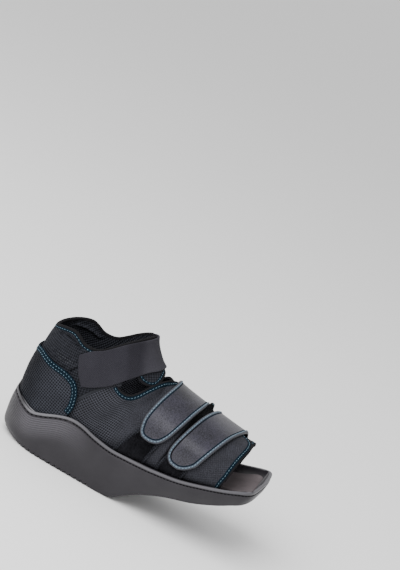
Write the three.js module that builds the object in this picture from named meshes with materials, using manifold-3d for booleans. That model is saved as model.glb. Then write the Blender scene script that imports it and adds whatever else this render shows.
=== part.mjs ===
// A forefoot relief shoe for a right foot, as worn after bunion surgery: an open-toed cloth upper on a
// moulded wedge sole that stands on its heel and midfoot, with the toe end raised clear of the floor.
// Millimetres. +X runs from heel to toe, +Y to the inner (medial) side, +Z up from the floor.
import * as THREE from "three";
import { mergeVertices } from "three/addons/utils/BufferGeometryUtils.js";
import Module from "manifold-3d";

const wasm = await Module();
wasm.setup();

// Driving dimensions: wall thicknesses
const QUARTER_WALL = 2.4;
const COLLAR_WALL = 3.0;
const COUNTER_WALL = 1.8;
const LOOP_WALL = 0.9;
const STRAP_WALL = 1.9;
const ANKLE_STRAP_WALL = 1.7;
const INSOLE_RISE = 0.6;
const INSOLE_DEPTH = 2.4;

// Driving dimensions: gaps between layers
const GAP = 0.6;
const SOLE_GAP = 0.9;

// Driving dimensions: sole edge and tread
const LIP_WIDTH = 9;
const LIP_ROUND = 1.2;
const LIP_HEIGHT = 3.4;
const LIP_DISH = 0.5;
const LIP_UNDERCUT = 0.4;
const GROOVE_DEPTH = 1.1;
const GROOVE_HEIGHT = 1.3;
const GROOVE_SLOPE = 0.3;
const WALL_BULGE = 2.2;
const TALL_WALL = 36;
const FOOT_ROUND = 1.6;
const TOE_SKEW = 0.04;
const SKEW_RUN = [150, 250];
const TREAD_START = 20;
const TREAD_PITCH = 6;
const TREAD_GROOVES = 16;
const TREAD_DEPTH = 2.8;
const TREAD_HALF_MOUTH = 1.8;
const TREAD_SPINE = 10;
const TREAD_REACH = 60;

// Closer than this, two points are one point.
const SAME_POINT = 1e-4;

// The foot form that the upper is cut to: a row for each section, from the toe back and up to the leg.
// Columns: top x, top z, bottom x, bottom z, half width, height share of the widest place, squareness
// of the upper half and of the lower half (2 is an ellipse, more is squarer).
const FORM = [
  [253, 98, 258, 73, 37, 0.42, 2.4, 4.5], // toe
  [234, 101, 239, 66, 44.5, 0.42, 2.4, 4.5], // front
  [212, 104, 215, 58.5, 46, 0.42, 2.3, 4.5], // ball
  [187, 108.5, 184, 50.5, 44, 0.42, 2.2, 4.2], // tarsal
  [163, 113, 148, 44, 40, 0.42, 2.2, 4.0], // waist
  [144, 117.5, 108, 37, 37, 0.44, 2.2, 3.6], // instep
  [130, 123.5, 68, 30, 35.5, 0.46, 2.2, 3.2], // throat
  [117.5, 131, 28, 23.5, 34, 0.48, 2.2, 2.9], // heel
  [109.5, 139, 9.5, 42, 33, 0.5, 2.2, 2.6], // heel back
  [103.5, 147, 5.5, 68, 32, 0.5, 2.2, 2.5], // counter
  [99.5, 156, 6.9, 92, 31, 0.5, 2.2, 2.4], // achilles
  [96.5, 166, 9.8, 113, 30, 0.5, 2.2, 2.4], // collar
  [94, 178, 14.6, 134, 30, 0.5, 2.2, 2.4], // leg
];

// Panels lie on the form. A panel has a row for each section across it: station and girth of its first
// edge, then of its second. A station counts FORM rows from the toe. Girth is 0 along the top, -1 along
// the bottom and the back by way of the outer side, and 1 by way of the inner side.

// Quarter, from the seam behind the throat hole to the toe. Upper edge, then lower edge in the sole.
const QUARTER = [
  [7.28, -0.315, 6.9, -0.785],
  [7.02, -0.333, 6.72, -0.785],
  [6.6, -0.34, 6.45, -0.785],
  [6.27, -0.332, 6.2, -0.785],
  [6.12, -0.295, 5.95, -0.785],
  [6.08, -0.225, 5.7, -0.785],
  [5.96, -0.135, 5.45, -0.785],
  [5.66, -0.04, 5.15, -0.785],
  [5.25, 0.05, 4.8, -0.785],
  [4.0, 0.07, 3.9, -0.785],
  [2.6, 0.07, 2.7, -0.785],
  [1.5, 0.06, 1.95, -0.785],
  [1.04, 0.0, 1.65, -0.785],
  [0.91, -0.12, 1.52, -0.785],
];

// Collar from the front of the outer wing to the middle of the back. Upper edge, then lower edge.
const COLLAR_OUTER = [
  [9.72, 0.045, 6.95, 0.045],
  [9.95, 0.0, 6.38, -0.005],
  [10.0, -0.05, 6.18, -0.06],
  [10.03, -0.1, 5.98, -0.12],
  [10.04, -0.15, 5.9, -0.175],
  [10.04, -0.19, 6.06, -0.215],
  [10.03, -0.22, 6.46, -0.238],
  [10.01, -0.25, 7.06, -0.24],
  [9.97, -0.285, 7.3, -0.275],
  [9.88, -0.33, 7.34, -0.32],
  [9.79, -0.37, 7.31, -0.37],
  [9.73, -0.43, 7.27, -0.43],
  [9.92, -0.48, 7.23, -0.48],
  [10.29, -0.535, 7.18, -0.54],
  [10.8, -0.586, 7.12, -0.62],
  [11.21, -0.646, 7.05, -0.72],
  [11.43, -0.743, 7.1, -0.8],
  [11.44, -0.87, 7.38, -0.89],
  [11.4, -1.0, 7.55, -1.0],
];

// The inner wing, from the middle of the back to its plain rounded front end.
const COLLAR_INNER = [
  [11.44, -1.13, 7.38, -1.11],
  [11.43, -1.257, 7.1, -1.2],
  [11.21, -1.354, 7.05, -1.28],
  [10.8, -1.414, 7.12, -1.38],
  [10.29, -1.465, 7.18, -1.46],
  [9.92, -1.52, 7.23, -1.52],
  [9.73, -1.57, 7.27, -1.57],
  [9.79, -1.63, 7.31, -1.63],
  [9.88, -1.67, 7.34, -1.68],
  [9.97, -1.73, 7.3, -1.74],
  [10.0, -1.79, 7.2, -1.79],
  [9.95, -1.84, 7.25, -1.84],
  [9.55, -1.87, 7.7, -1.87],
];

// Heel counter from its outer front edge to the middle of the back. Upper edge, then lower edge.
const COUNTER = [
  [7.55, -0.509, 7.25, -0.517],
  [8.05, -0.522, 6.96, -0.543],
  [8.66, -0.573, 6.76, -0.58],
  [9.2, -0.651, 6.63, -0.65],
  [9.73, -0.738, 6.9, -0.74],
  [9.98, -0.8, 7.2, -0.82],
  [10.05, -0.87, 7.4, -0.89],
  [10.05, -1.0, 7.6, -1.0],
];

// Forefoot straps from the round outer end over the top to the inner side. Rear edge, then front edge.
const STRAP_REAR = [
  [4.5, -0.493, 4.18, -0.503],
  [4.69, -0.458, 3.93, -0.483],
  [4.81, -0.42, 3.8, -0.44],
  [4.96, -0.368, 3.71, -0.394],
  [5.15, -0.23, 3.58, -0.26],
  [5.25, -0.05, 3.47, -0.08],
  [5.28, 0.1, 3.43, 0.1],
  [5.2, 0.25, 3.5, 0.25],
  [5.0, 0.4, 3.6, 0.4],
  [4.86, 0.5, 3.7, 0.5],
  [4.8, 0.61, 3.76, 0.61],
];
const STRAP_FRONT = [
  [3.29, -0.603, 3.0, -0.628],
  [3.42, -0.56, 2.73, -0.596],
  [3.49, -0.505, 2.52, -0.52],
  [3.52, -0.44, 2.38, -0.44],
  [3.41, -0.296, 2.1, -0.28],
  [3.2, -0.077, 1.78, -0.08],
  [3.0, 0.12, 1.58, 0.1],
  [2.85, 0.28, 1.52, 0.27],
  [2.75, 0.42, 1.55, 0.42],
  [2.7, 0.52, 1.58, 0.52],
  [2.68, 0.61, 1.6, 0.61],
];

// Loop patches that the strap ends hold to. Upper edge, then lower edge behind the rim of the sole.
const LOOP_REAR = [
  [4.72, -0.36, 4.84, -0.72],
  [4.3, -0.36, 4.4, -0.72],
  [3.88, -0.38, 3.95, -0.72],
];
const LOOP_FRONT = [
  [3.42, -0.42, 3.6, -0.72],
  [3.0, -0.42, 3.2, -0.72],
  [2.6, -0.44, 2.8, -0.72],
];

// Ankle strap from its sewn outer end to the front of the ankle. Upper edge, then lower edge.
const ANKLE_STRAP = [
  [9.55, -0.534, 7.64, -0.491],
  [9.68, -0.47, 7.36, -0.43],
  [9.63, -0.395, 7.14, -0.365],
  [9.85, -0.286, 7.04, -0.28],
  [9.9, -0.18, 6.9, -0.18],
  [9.86, -0.07, 6.64, -0.08],
];

// Insole from the heel to the toe. Outer edge, then inner edge, by way of the bottom.
const INSOLE = [
  [7.4, -0.95, 7.4, -1.05],
  [7.25, -0.89, 7.25, -1.11],
  [7.0, -0.845, 7.0, -1.155],
  [6.4, -0.825, 6.4, -1.175],
  [5.0, -0.82, 5.0, -1.18],
  [3.5, -0.82, 3.5, -1.18],
  [2.0, -0.82, 2.0, -1.18],
  [1.1, -0.81, 1.1, -1.19],
  [0.5, -0.77, 0.5, -1.23],
  [0.15, -0.775, 0.15, -1.225],
  [0.03, -0.83, 0.03, -1.17],
];

// Girths and stations between which an upper layer climbs onto the one beneath it, or comes down again.
const FLAP_CLIMB = [-0.22, -0.1];
const WING_CLIMB = [-0.4, -0.27];
const WING_FRONT = [5.3, 5.8];
const WING_BACK = [6.5, 6.9];
const STRAP_CLIMB = [-0.3, -0.14];
const STRAP_FALL = [0.12, 0.28];

// Room in the sole round the form: station, distance. It takes the counter and the loop patches in.
const SOLE_ROOM = [
  [0, QUARTER_WALL],
  [2.2, QUARTER_WALL],
  [2.6, QUARTER_WALL + GAP + LOOP_WALL],
  [4.9, QUARTER_WALL + GAP + LOOP_WALL],
  [5.3, QUARTER_WALL],
  [6.1, QUARTER_WALL],
  [6.5, COLLAR_WALL + GAP + COUNTER_WALL],
  [9, COLLAR_WALL + GAP + COUNTER_WALL],
];

// Sole outline from the heel to the toe along one side; the other side mirrors it.
// Columns: x, half width and z of the rim, then x, half width and z of the foot of the wall.
const SOLE = [
  [-0.7, 0, 50.5, 3.5, 0, 5], // heel
  [2, 13, 46.8, 6, 11, 4],
  [9, 24, 44.6, 14, 20.5, 3],
  [19, 31.5, 41, 24, 28.5, 1.7],
  [30, 36, 39.3, 35, 33.5, 0],
  [42, 39, 43.6, 46, 37, 0],
  [57, 40.5, 50.5, 58, 38.3, 0],
  [69, 41.5, 54, 70, 39, 0], // flare beside the ankle
  [82, 41.5, 53.5, 84, 39.5, 0],
  [100, 41.5, 49, 102, 40, 0],
  [118, 42, 46.6, 125, 40.5, 0], // end of the tread, ahead of the shoe's own balance
  [137, 43.5, 47.6, 137, 40.8, 2.3],
  [150, 45.5, 49, 147, 41.2, 9.5],
  [164, 47.5, 50.8, 160, 42, 18.6],
  [191, 50.5, 55.8, 184, 44, 30],
  [216, 52, 63.2, 212, 46.5, 39.6], // ball
  [236, 51, 69.6, 234, 47, 49.5],
  [249, 48.5, 74.3, 247, 45, 56.3],
  [257.5, 44.5, 77, 256.5, 42, 61.2], // toe corner
  [262, 33, 78, 261.7, 31, 65],
  [264, 0, 78.3, 263.5, 0, 67], // toe
];

// Bulge of the sole's wall, which is full where the wall is tall. Columns: share of the way down from
// the groove, share of the full bulge.
const WALL_SHAPE = [
  [0, 0.17],
  [0.45, 1],
  [0.8, 0.7],
  [1, 0],
];

const FINISH = {
  sole: { color: 0x3b3b3f, roughness: 0.55 },
  insole: { color: 0x2a2a2d, roughness: 0.7 },
  mesh: { color: 0x1f2229, roughness: 0.9 },
  padding: { color: 0x232427, roughness: 0.95 },
  leather: { color: 0x3d3f45, roughness: 0.42 },
  loop: { color: 0x0c0c0e, roughness: 1 },
  webbing: { color: 0x2c2c30, roughness: 0.9 },
};

const { lerp, smoothstep } = THREE.MathUtils;

// Smooth curve through table rows, at a place counted in rows.
function alongRows(rows, place) {
  const i = Math.min(Math.max(Math.floor(place), 0), rows.length - 2);
  const t = place - i;
  const here = rows[i];
  const next = rows[i + 1];
  const before = rows[i - 1] ?? here.map((v, k) => 2 * v - next[k]);
  const after = rows[i + 2] ?? next.map((v, k) => 2 * v - here[k]);
  return here.map((v, k) => {
    const rise = next[k] - before[k];
    const bend = 2 * before[k] - 5 * v + 4 * next[k] - after[k];
    const twist = 3 * v - before[k] - 3 * next[k] + after[k];
    return v + (t * (rise + t * (bend + t * twist))) / 2;
  });
}

// Eased steps through rows of [place, value].
function stepped(rows, place) {
  const i = Math.max(rows.findIndex((row) => row[0] >= place), 1);
  const [start, low] = rows[i - 1];
  const [end, high] = rows[i];
  return lerp(low, high, smoothstep(place, start, end));
}

function onForm(station, girth) {
  const [topX, topZ, bottomX, bottomZ, half, belly, topSquare, bottomSquare] = alongRows(FORM, station);
  const up = Math.cos(Math.PI * girth);
  const side = Math.sin(Math.PI * girth);
  const square = up > 0 ? topSquare : bottomSquare;
  const reach = (Math.abs(up) ** square + Math.abs(side) ** square) ** (-1 / square);
  const height = belly + reach * up * (up > 0 ? 1 - belly : belly);
  return new THREE.Vector3(lerp(bottomX, topX, height), half * reach * side, lerp(bottomZ, topZ, height));
}

// A point at a distance outside the form.
function offForm(station, girth, distance) {
  const step = 1e-3;
  const along = onForm(station + step, girth).sub(onForm(station - step, girth));
  const around = onForm(station, girth + step).sub(onForm(station, girth - step));
  const out = around.cross(along).normalize();
  return onForm(station, girth).addScaledVector(out, distance);
}

// A closed solid from triangles of points, turned so that its faces point out.
function closed(triangles) {
  const volume = triangles.reduce((sum, [a, b, c]) => sum + a.dot(b.clone().cross(c)), 0);
  const faces = volume < 0 ? triangles.map(([a, b, c]) => [a, c, b]) : triangles;
  const loose = new THREE.BufferGeometry().setFromPoints(faces.flat());
  return mergeVertices(loose, SAME_POINT);
}

function quad(a, b, c, d) {
  return [
    [a, b, c],
    [a, c, d],
  ];
}

// Quads between neighbouring rows of a grid of points.
function skin(grid) {
  return grid.slice(1).flatMap((row, i) =>
    row.slice(1).flatMap((corner, j) => quad(grid[i][j], grid[i][j + 1], corner, row[j])),
  );
}

// A panel between two edge lines on the form. inner is the height of its inner face above the form, a
// number or a function of station and girth; steps are per table row along it, and in all across it.
function panel(rows, wall, inner, along, across) {
  const height = typeof inner === "function" ? inner : () => inner;
  const layer = (extra) =>
    Array.from({ length: (rows.length - 1) * along + 1 }, (_, i) => {
      const [stationA, girthA, stationB, girthB] = alongRows(rows, i / along);
      return Array.from({ length: across + 1 }, (_, j) => {
        const station = lerp(stationA, stationB, j / across);
        const girth = lerp(girthA, girthB, j / across);
        return offForm(station, girth, height(station, girth) + extra);
      });
    });
  const inside = layer(0);
  const outside = layer(wall);
  const inward = inside.map((row) => row.slice().reverse());
  const rims = [
    [inside[0], outside[0]],
    [outside.at(-1), inside.at(-1)],
    [outside.map((row) => row[0]), inside.map((row) => row[0])],
    [inside.map((row) => row.at(-1)), outside.map((row) => row.at(-1))],
  ];
  return closed([...skin(outside), ...skin(inward), ...rims.flatMap(skin)]);
}

const toOtherSide = ([stationA, girthA, stationB, girthB]) => [stationA, -girthA, stationB, -girthB];
const roundTheBack = ([stationA, girthA, stationB, girthB]) => [stationA, -2 - girthA, stationB, -2 - girthB];

// The outer quarter lies over the collar wing at the throat and over the inner quarter along the top.
function outerQuarterHeight(station, girth) {
  const overFlap = (QUARTER_WALL + GAP) * smoothstep(girth, ...FLAP_CLIMB);
  const atThroat = smoothstep(station, ...WING_FRONT) * (1 - smoothstep(station, ...WING_BACK));
  const overWing = (COLLAR_WALL + 2 * GAP) * smoothstep(girth, ...WING_CLIMB) * atThroat;
  return Math.max(overFlap, overWing);
}

// A forefoot strap lies on its loop patch, then over both flaps, then flat on the inner quarter.
function strapHeight(station, girth) {
  const onPatch = QUARTER_WALL + LOOP_WALL + 2 * GAP;
  const onFlaps = 2 * (QUARTER_WALL + GAP);
  const onQuarter = QUARTER_WALL + GAP;
  const risen = lerp(onPatch, onFlaps, smoothstep(girth, ...STRAP_CLIMB));
  return lerp(risen, onQuarter, smoothstep(girth, ...STRAP_FALL));
}

function solidOf(geometry) {
  const bare = geometry.clone();
  bare.deleteAttribute("normal");
  bare.deleteAttribute("uv");
  const merged = mergeVertices(bare, SAME_POINT);
  return new wasm.Manifold(
    new wasm.Mesh({
      numProp: 3,
      vertProperties: new Float32Array(merged.attributes.position.array),
      triVerts: new Uint32Array(merged.index.array),
    }),
  );
}

function geometryOf(solid) {
  const mesh = solid.getMesh();
  const geometry = new THREE.BufferGeometry();
  geometry.setAttribute("position", new THREE.BufferAttribute(mesh.vertProperties, mesh.numProp));
  geometry.setIndex(new THREE.BufferAttribute(mesh.triVerts, 1));
  return geometry;
}

// The wall of the sole at one place along its side: points from the middle of the lip down to the tread.
function soleProfile(place, side) {
  const step = 0.02;
  const [rimX, rimHalf, rimZ, footX, footHalf, footZ] = alongRows(SOLE, place);
  const ahead = alongRows(SOLE, Math.min(place + step, SOLE.length - 1));
  const behind = alongRows(SOLE, Math.max(place - step, 0));
  const tangent = new THREE.Vector2(ahead[0] - behind[0], ahead[1] - behind[1]).normalize();
  const atEnd = place === 0 || place === SOLE.length - 1;
  const outX = atEnd ? Math.sign(place - 1) : -tangent.y;
  const outY = atEnd ? 0 : tangent.x;
  const at = (share, out, z) => {
    const x = lerp(rimX, footX, share) + outX * out;
    const y = side * (lerp(rimHalf, footHalf, share) + outY * out);
    return new THREE.Vector3(x + TOE_SKEW * y * smoothstep(x, ...SKEW_RUN), y, Math.max(z, 0));
  };
  const grooveTop = rimZ - LIP_HEIGHT;
  const wallTop = grooveTop - GROOVE_HEIGHT;
  const wallLow = footZ + FOOT_ROUND;
  const fullBulge = WALL_BULGE * Math.min((wallTop - wallLow) / TALL_WALL, 1);
  return [
    at(0, -LIP_WIDTH, rimZ - LIP_DISH),
    at(0, -LIP_ROUND, rimZ),
    at(0, 0, rimZ - LIP_ROUND),
    at(0, 0, grooveTop + LIP_UNDERCUT),
    at(0, -GROOVE_DEPTH, grooveTop),
    at(0, -GROOVE_DEPTH, wallTop + GROOVE_SLOPE),
    ...WALL_SHAPE.map(([share, bulge]) => at(share, fullBulge * bulge, lerp(wallTop, wallLow, share))),
    at(1, -FOOT_ROUND, footZ),
  ];
}

// The sole before it is hollowed: both walls, bridged across the top and the bottom. They meet in the
// middle of the heel and the toe, where the bridges run out to nothing.
function soleBlock(perRow) {
  const count = (SOLE.length - 1) * perRow;
  const walls = [-1, 1].map((side) =>
    Array.from({ length: count + 1 }, (_, i) => soleProfile(i / perRow, side)),
  );
  const [outer, inner] = walls;
  const innerTurned = inner.map((profile) => profile.slice().reverse());
  const top = outer.map((profile, i) => [inner[i][0], profile[0]]);
  const bottom = outer.map((profile, i) => [profile.at(-1), inner[i].at(-1)]);
  const apart = (a, b) => a.distanceTo(b) > SAME_POINT;
  const whole = ([a, b, c]) => apart(a, b) && apart(b, c) && apart(c, a);
  return closed([outer, innerTurned, top, bottom].flatMap(skin).filter(whole));
}

// The room for the foot and the upper: the form, swollen to clear the pieces that stand in the sole.
function footRoom(stations, around) {
  const [lastStation] = SOLE_ROOM.at(-1);
  const rings = Array.from({ length: stations + 1 }, (_, i) => {
    const station = (lastStation * i) / stations;
    const room = stepped(SOLE_ROOM, station) + SOLE_GAP;
    return Array.from({ length: around + 1 }, (_, j) => {
      const girth = 1 - (2 * (j % around)) / around;
      return offForm(station, girth, room);
    });
  });
  const caps = [rings[0], rings.at(-1)].flatMap((ring, k) => {
    const middle = ring.slice(1).reduce((sum, p) => sum.add(p), new THREE.Vector3()).divideScalar(around);
    return ring.slice(1).map((point, j) => (k ? [middle, ring[j], point] : [middle, point, ring[j]]));
  });
  return closed([...skin(rings), ...caps]);
}

// One cross groove of the tread, cut in from one side and leaving the flat spine whole.
function treadGroove(x, side) {
  const below = 1;
  const section = new THREE.Shape();
  section.moveTo(-TREAD_HALF_MOUTH, -below);
  section.lineTo(TREAD_HALF_MOUTH, -below);
  section.lineTo(TREAD_HALF_MOUTH, 0);
  section.lineTo(0, TREAD_DEPTH);
  section.lineTo(-TREAD_HALF_MOUTH, 0);
  const depth = TREAD_REACH - TREAD_SPINE;
  const groove = new THREE.ExtrudeGeometry(section, { depth, bevelEnabled: false });
  groove.rotateX(Math.PI / 2);
  groove.translate(x, side < 0 ? -TREAD_SPINE : TREAD_REACH, 0);
  return groove;
}

function soleSolid() {
  let sole = solidOf(soleBlock(2)).subtract(solidOf(footRoom(40, 36)));
  for (let i = 0; i < TREAD_GROOVES; i++) {
    for (const side of [-1, 1]) {
      sole = sole.subtract(solidOf(treadGroove(TREAD_START + i * TREAD_PITCH, side)));
    }
  }
  return geometryOf(sole);
}

const collarRows = [...COLLAR_OUTER, ...COLLAR_INNER];
const counterRows = [...COUNTER, ...COUNTER.slice(0, -1).reverse().map(roundTheBack)];
const ankleStrapRows = [...ANKLE_STRAP, ...ANKLE_STRAP.map(toOtherSide).reverse()];
const onCollar = COLLAR_WALL + GAP;
const onQuarter = QUARTER_WALL + GAP;

// Cloth, strap and foam panels. Columns: name, finish, rows, wall, height of the inner face above the
// form, steps per row along it, steps across it.
const PANELS = [
  ["insole", "insole", INSOLE, INSOLE_RISE + INSOLE_DEPTH, -INSOLE_RISE, 2, 6],
  ["ankle_collar", "padding", collarRows, COLLAR_WALL, 0, 2, 6],
  ["lateral_quarter", "mesh", QUARTER, QUARTER_WALL, outerQuarterHeight, 2, 12],
  ["medial_quarter", "mesh", QUARTER.map(toOtherSide), QUARTER_WALL, 0, 2, 12],
  ["heel_counter", "mesh", counterRows, COUNTER_WALL, onCollar, 2, 8],
  ["loop_patch_rear", "loop", LOOP_REAR, LOOP_WALL, onQuarter, 2, 6],
  ["loop_patch_front", "loop", LOOP_FRONT, LOOP_WALL, onQuarter, 2, 6],
  ["forefoot_strap_rear", "leather", STRAP_REAR, STRAP_WALL, strapHeight, 2, 6],
  ["forefoot_strap_front", "leather", STRAP_FRONT, STRAP_WALL, strapHeight, 2, 6],
  ["ankle_strap", "webbing", ankleStrapRows, ANKLE_STRAP_WALL, onCollar, 2, 4],
];

function named(name, finish, geometry) {
  const mesh = new THREE.Mesh(geometry, new THREE.MeshStandardMaterial({ ...FINISH[finish], metalness: 0 }));
  mesh.name = name;
  return mesh;
}

const shoe = new THREE.Group();
shoe.name = "forefoot_relief_shoe";
shoe.add(named("sole", "sole", soleSolid()));
for (const [name, finish, ...shape] of PANELS) {
  shoe.add(named(name, finish, panel(...shape)));
}

// The origin is on the floor, under the middle of the shoe's box.
const middle = new THREE.Box3().setFromObject(shoe).getCenter(new THREE.Vector3());
shoe.position.set(-middle.x, -middle.y, 0);

export default shoe;
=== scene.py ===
import math

import bmesh
import bpy
import numpy as np
from mathutils import Matrix, Vector


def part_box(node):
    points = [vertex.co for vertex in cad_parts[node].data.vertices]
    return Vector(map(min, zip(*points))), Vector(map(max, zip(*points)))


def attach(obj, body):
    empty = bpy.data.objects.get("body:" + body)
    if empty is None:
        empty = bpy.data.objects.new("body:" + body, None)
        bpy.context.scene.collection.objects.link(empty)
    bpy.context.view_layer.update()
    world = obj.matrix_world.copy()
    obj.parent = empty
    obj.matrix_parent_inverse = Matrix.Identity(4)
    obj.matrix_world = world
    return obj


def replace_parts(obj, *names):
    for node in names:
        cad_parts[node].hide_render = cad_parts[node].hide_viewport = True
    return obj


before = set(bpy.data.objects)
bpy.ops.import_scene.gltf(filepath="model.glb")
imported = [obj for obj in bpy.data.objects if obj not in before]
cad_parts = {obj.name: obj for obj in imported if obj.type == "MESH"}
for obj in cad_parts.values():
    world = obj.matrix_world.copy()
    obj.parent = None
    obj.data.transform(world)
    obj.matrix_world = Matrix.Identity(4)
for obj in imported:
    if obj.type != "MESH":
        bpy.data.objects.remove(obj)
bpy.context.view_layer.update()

# Metres in a millimetre, and millimetres in a centimetre
MM = 0.001
CM = 10

# Wall thicknesses and the gaps between layers
QUARTER_WALL = 2.4
COLLAR_WALL = 3.0
COUNTER_WALL = 1.8
LOOP_WALL = 0.9
STRAP_WALL = 1.9
ANKLE_STRAP_WALL = 1.7
INSOLE_RISE = 0.6
INSOLE_DEPTH = 2.4
GAP = 0.6
SOLE_GAP = 0.9

# Sole edge and tread
LIP_HEIGHT = 3.4
GROOVE_HEIGHT = 1.3
WALL_BULGE = 2.2
TALL_WALL = 36
FOOT_ROUND = 1.6
TOE_SKEW = 0.04
SKEW_RUN = (150, 250)
TREAD_START = 20
TREAD_PITCH = 6
TREAD_GROOVES = 16
TREAD_DEPTH = 2.8
TREAD_HALF_MOUTH = 1.8
TREAD_SPINE = 10
TREAD_REACH = 60
TREAD_BELOW = -1.0
TREAD_BEND = (0.35, 0.86)

# Turn of the counter's mesh and of the collar's knit from their cuts, in radians
COUNTER_TURN = math.radians(30)
KNIT_TURN = math.radians(35)

# Spacing of the fine lines under the sole's rim, and where its short heel stitches give way to long ones
LINE_PITCH = 2.2
HEEL_STITCHES = 72

# Stitches: spacing, length and half thickness of the thread
STITCH_PITCH = 3.3
STITCH_LENGTH = 1.9
THREAD = 0.23

# The camera: its angles to the shoe in degrees, its distance, and where its target is in the picture
VIEW_AZIMUTH = 7.5
VIEW_ELEVATION = 19.0
VIEW_ROLL = 26.6
VIEW_DISTANCE = 1800
VIEW_TARGET = (131, 0, 70)
VIEW_TARGET_PIXEL = (144.6, 425.5)
PICTURE = (400, 570)
FOCAL_PIXELS = 1821.6
SENSOR = 36

# The form that the upper is cut to, as a last is: a row for each section, from the toe end back and up.
# Columns: top x, top z, bottom x, bottom z, half width, height share of the widest place, squareness
# of the upper half and of the lower half.
FORM = np.array([
    (253, 98, 258, 73, 37, 0.42, 2.4, 4.5),
    (234, 101, 239, 66, 44.5, 0.42, 2.4, 4.5),
    (212, 104, 215, 58.5, 46, 0.42, 2.3, 4.5),
    (187, 108.5, 184, 50.5, 44, 0.42, 2.2, 4.2),
    (163, 113, 148, 44, 40, 0.42, 2.2, 4.0),
    (144, 117.5, 108, 37, 37, 0.44, 2.2, 3.6),
    (130, 123.5, 68, 30, 35.5, 0.46, 2.2, 3.2),
    (117.5, 131, 28, 23.5, 34, 0.48, 2.2, 2.9),
    (109.5, 139, 9.5, 42, 33, 0.5, 2.2, 2.6),
    (103.5, 147, 5.5, 68, 32, 0.5, 2.2, 2.5),
    (99.5, 156, 6.9, 92, 31, 0.5, 2.2, 2.4),
    (96.5, 166, 9.8, 113, 30, 0.5, 2.2, 2.4),
    (94, 178, 14.6, 134, 30, 0.5, 2.2, 2.4),
])

# Panels on the form. Columns: station and girth of the first edge, station and girth of the second.
# A station counts FORM rows from the toe. Girth is 0 along the top, -1 along the bottom and the back by
# way of the outer side, and 1 by way of the inner side.
TOP = 0
BACK = -1
QUARTER = [
    (7.28, -0.315, 6.9, -0.785),
    (7.02, -0.333, 6.72, -0.785),
    (6.6, -0.34, 6.45, -0.785),
    (6.27, -0.332, 6.2, -0.785),
    (6.12, -0.295, 5.95, -0.785),
    (6.08, -0.225, 5.7, -0.785),
    (5.96, -0.135, 5.45, -0.785),
    (5.66, -0.04, 5.15, -0.785),
    (5.25, 0.05, 4.8, -0.785),
    (4.0, 0.07, 3.9, -0.785),
    (2.6, 0.07, 2.7, -0.785),
    (1.5, 0.06, 1.95, -0.785),
    (1.04, 0.0, 1.65, -0.785),
    (0.91, -0.12, 1.52, -0.785),
]
COLLAR_OUTER = [
    (9.72, 0.045, 6.95, 0.045),
    (9.95, 0.0, 6.38, -0.005),
    (10.0, -0.05, 6.18, -0.06),
    (10.03, -0.1, 5.98, -0.12),
    (10.04, -0.15, 5.9, -0.175),
    (10.04, -0.19, 6.06, -0.215),
    (10.03, -0.22, 6.46, -0.238),
    (10.01, -0.25, 7.06, -0.24),
    (9.97, -0.285, 7.3, -0.275),
    (9.88, -0.33, 7.34, -0.32),
    (9.79, -0.37, 7.31, -0.37),
    (9.73, -0.43, 7.27, -0.43),
    (9.92, -0.48, 7.23, -0.48),
    (10.29, -0.535, 7.18, -0.54),
    (10.8, -0.586, 7.12, -0.62),
    (11.21, -0.646, 7.05, -0.72),
    (11.43, -0.743, 7.1, -0.8),
    (11.44, -0.87, 7.38, -0.89),
    (11.4, -1.0, 7.55, -1.0),
]

# The collar's inner side mirrors its outer side as far as this row, and then ends in rows of its own.
COLLAR_SHARED = 9
COLLAR_INNER_END = [
    (9.97, -1.73, 7.3, -1.74),
    (10.0, -1.79, 7.2, -1.79),
    (9.95, -1.84, 7.25, -1.84),
    (9.55, -1.87, 7.7, -1.87),
]
COUNTER = [
    (7.55, -0.509, 7.25, -0.517),
    (8.05, -0.522, 6.96, -0.543),
    (8.66, -0.573, 6.76, -0.58),
    (9.2, -0.651, 6.63, -0.65),
    (9.73, -0.738, 6.9, -0.74),
    (9.98, -0.8, 7.2, -0.82),
    (10.05, -0.87, 7.4, -0.89),
    (10.05, -1.0, 7.6, -1.0),
]
STRAP_REAR = [
    (4.5, -0.493, 4.18, -0.503),
    (4.69, -0.458, 3.93, -0.483),
    (4.81, -0.42, 3.8, -0.44),
    (4.96, -0.368, 3.71, -0.394),
    (5.15, -0.23, 3.58, -0.26),
    (5.25, -0.05, 3.47, -0.08),
    (5.28, 0.1, 3.43, 0.1),
    (5.2, 0.25, 3.5, 0.25),
    (5.0, 0.4, 3.6, 0.4),
    (4.86, 0.5, 3.7, 0.5),
    (4.8, 0.61, 3.76, 0.61),
]
STRAP_FRONT = [
    (3.29, -0.603, 3.0, -0.628),
    (3.42, -0.56, 2.73, -0.596),
    (3.49, -0.505, 2.52, -0.52),
    (3.52, -0.44, 2.38, -0.44),
    (3.41, -0.296, 2.1, -0.28),
    (3.2, -0.077, 1.78, -0.08),
    (3.0, 0.12, 1.58, 0.1),
    (2.85, 0.28, 1.52, 0.27),
    (2.75, 0.42, 1.55, 0.42),
    (2.7, 0.52, 1.58, 0.52),
    (2.68, 0.61, 1.6, 0.61),
]
LOOP_REAR = [
    (4.72, -0.36, 4.84, -0.72),
    (4.3, -0.36, 4.4, -0.72),
    (3.88, -0.38, 3.95, -0.72),
]
LOOP_FRONT = [
    (3.42, -0.42, 3.6, -0.72),
    (3.0, -0.42, 3.2, -0.72),
    (2.6, -0.44, 2.8, -0.72),
]
ANKLE_STRAP = [
    (9.55, -0.534, 7.64, -0.491),
    (9.68, -0.47, 7.36, -0.43),
    (9.63, -0.395, 7.14, -0.365),
    (9.85, -0.286, 7.04, -0.28),
    (9.9, -0.18, 6.9, -0.18),
    (9.86, -0.07, 6.64, -0.08),
]

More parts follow.
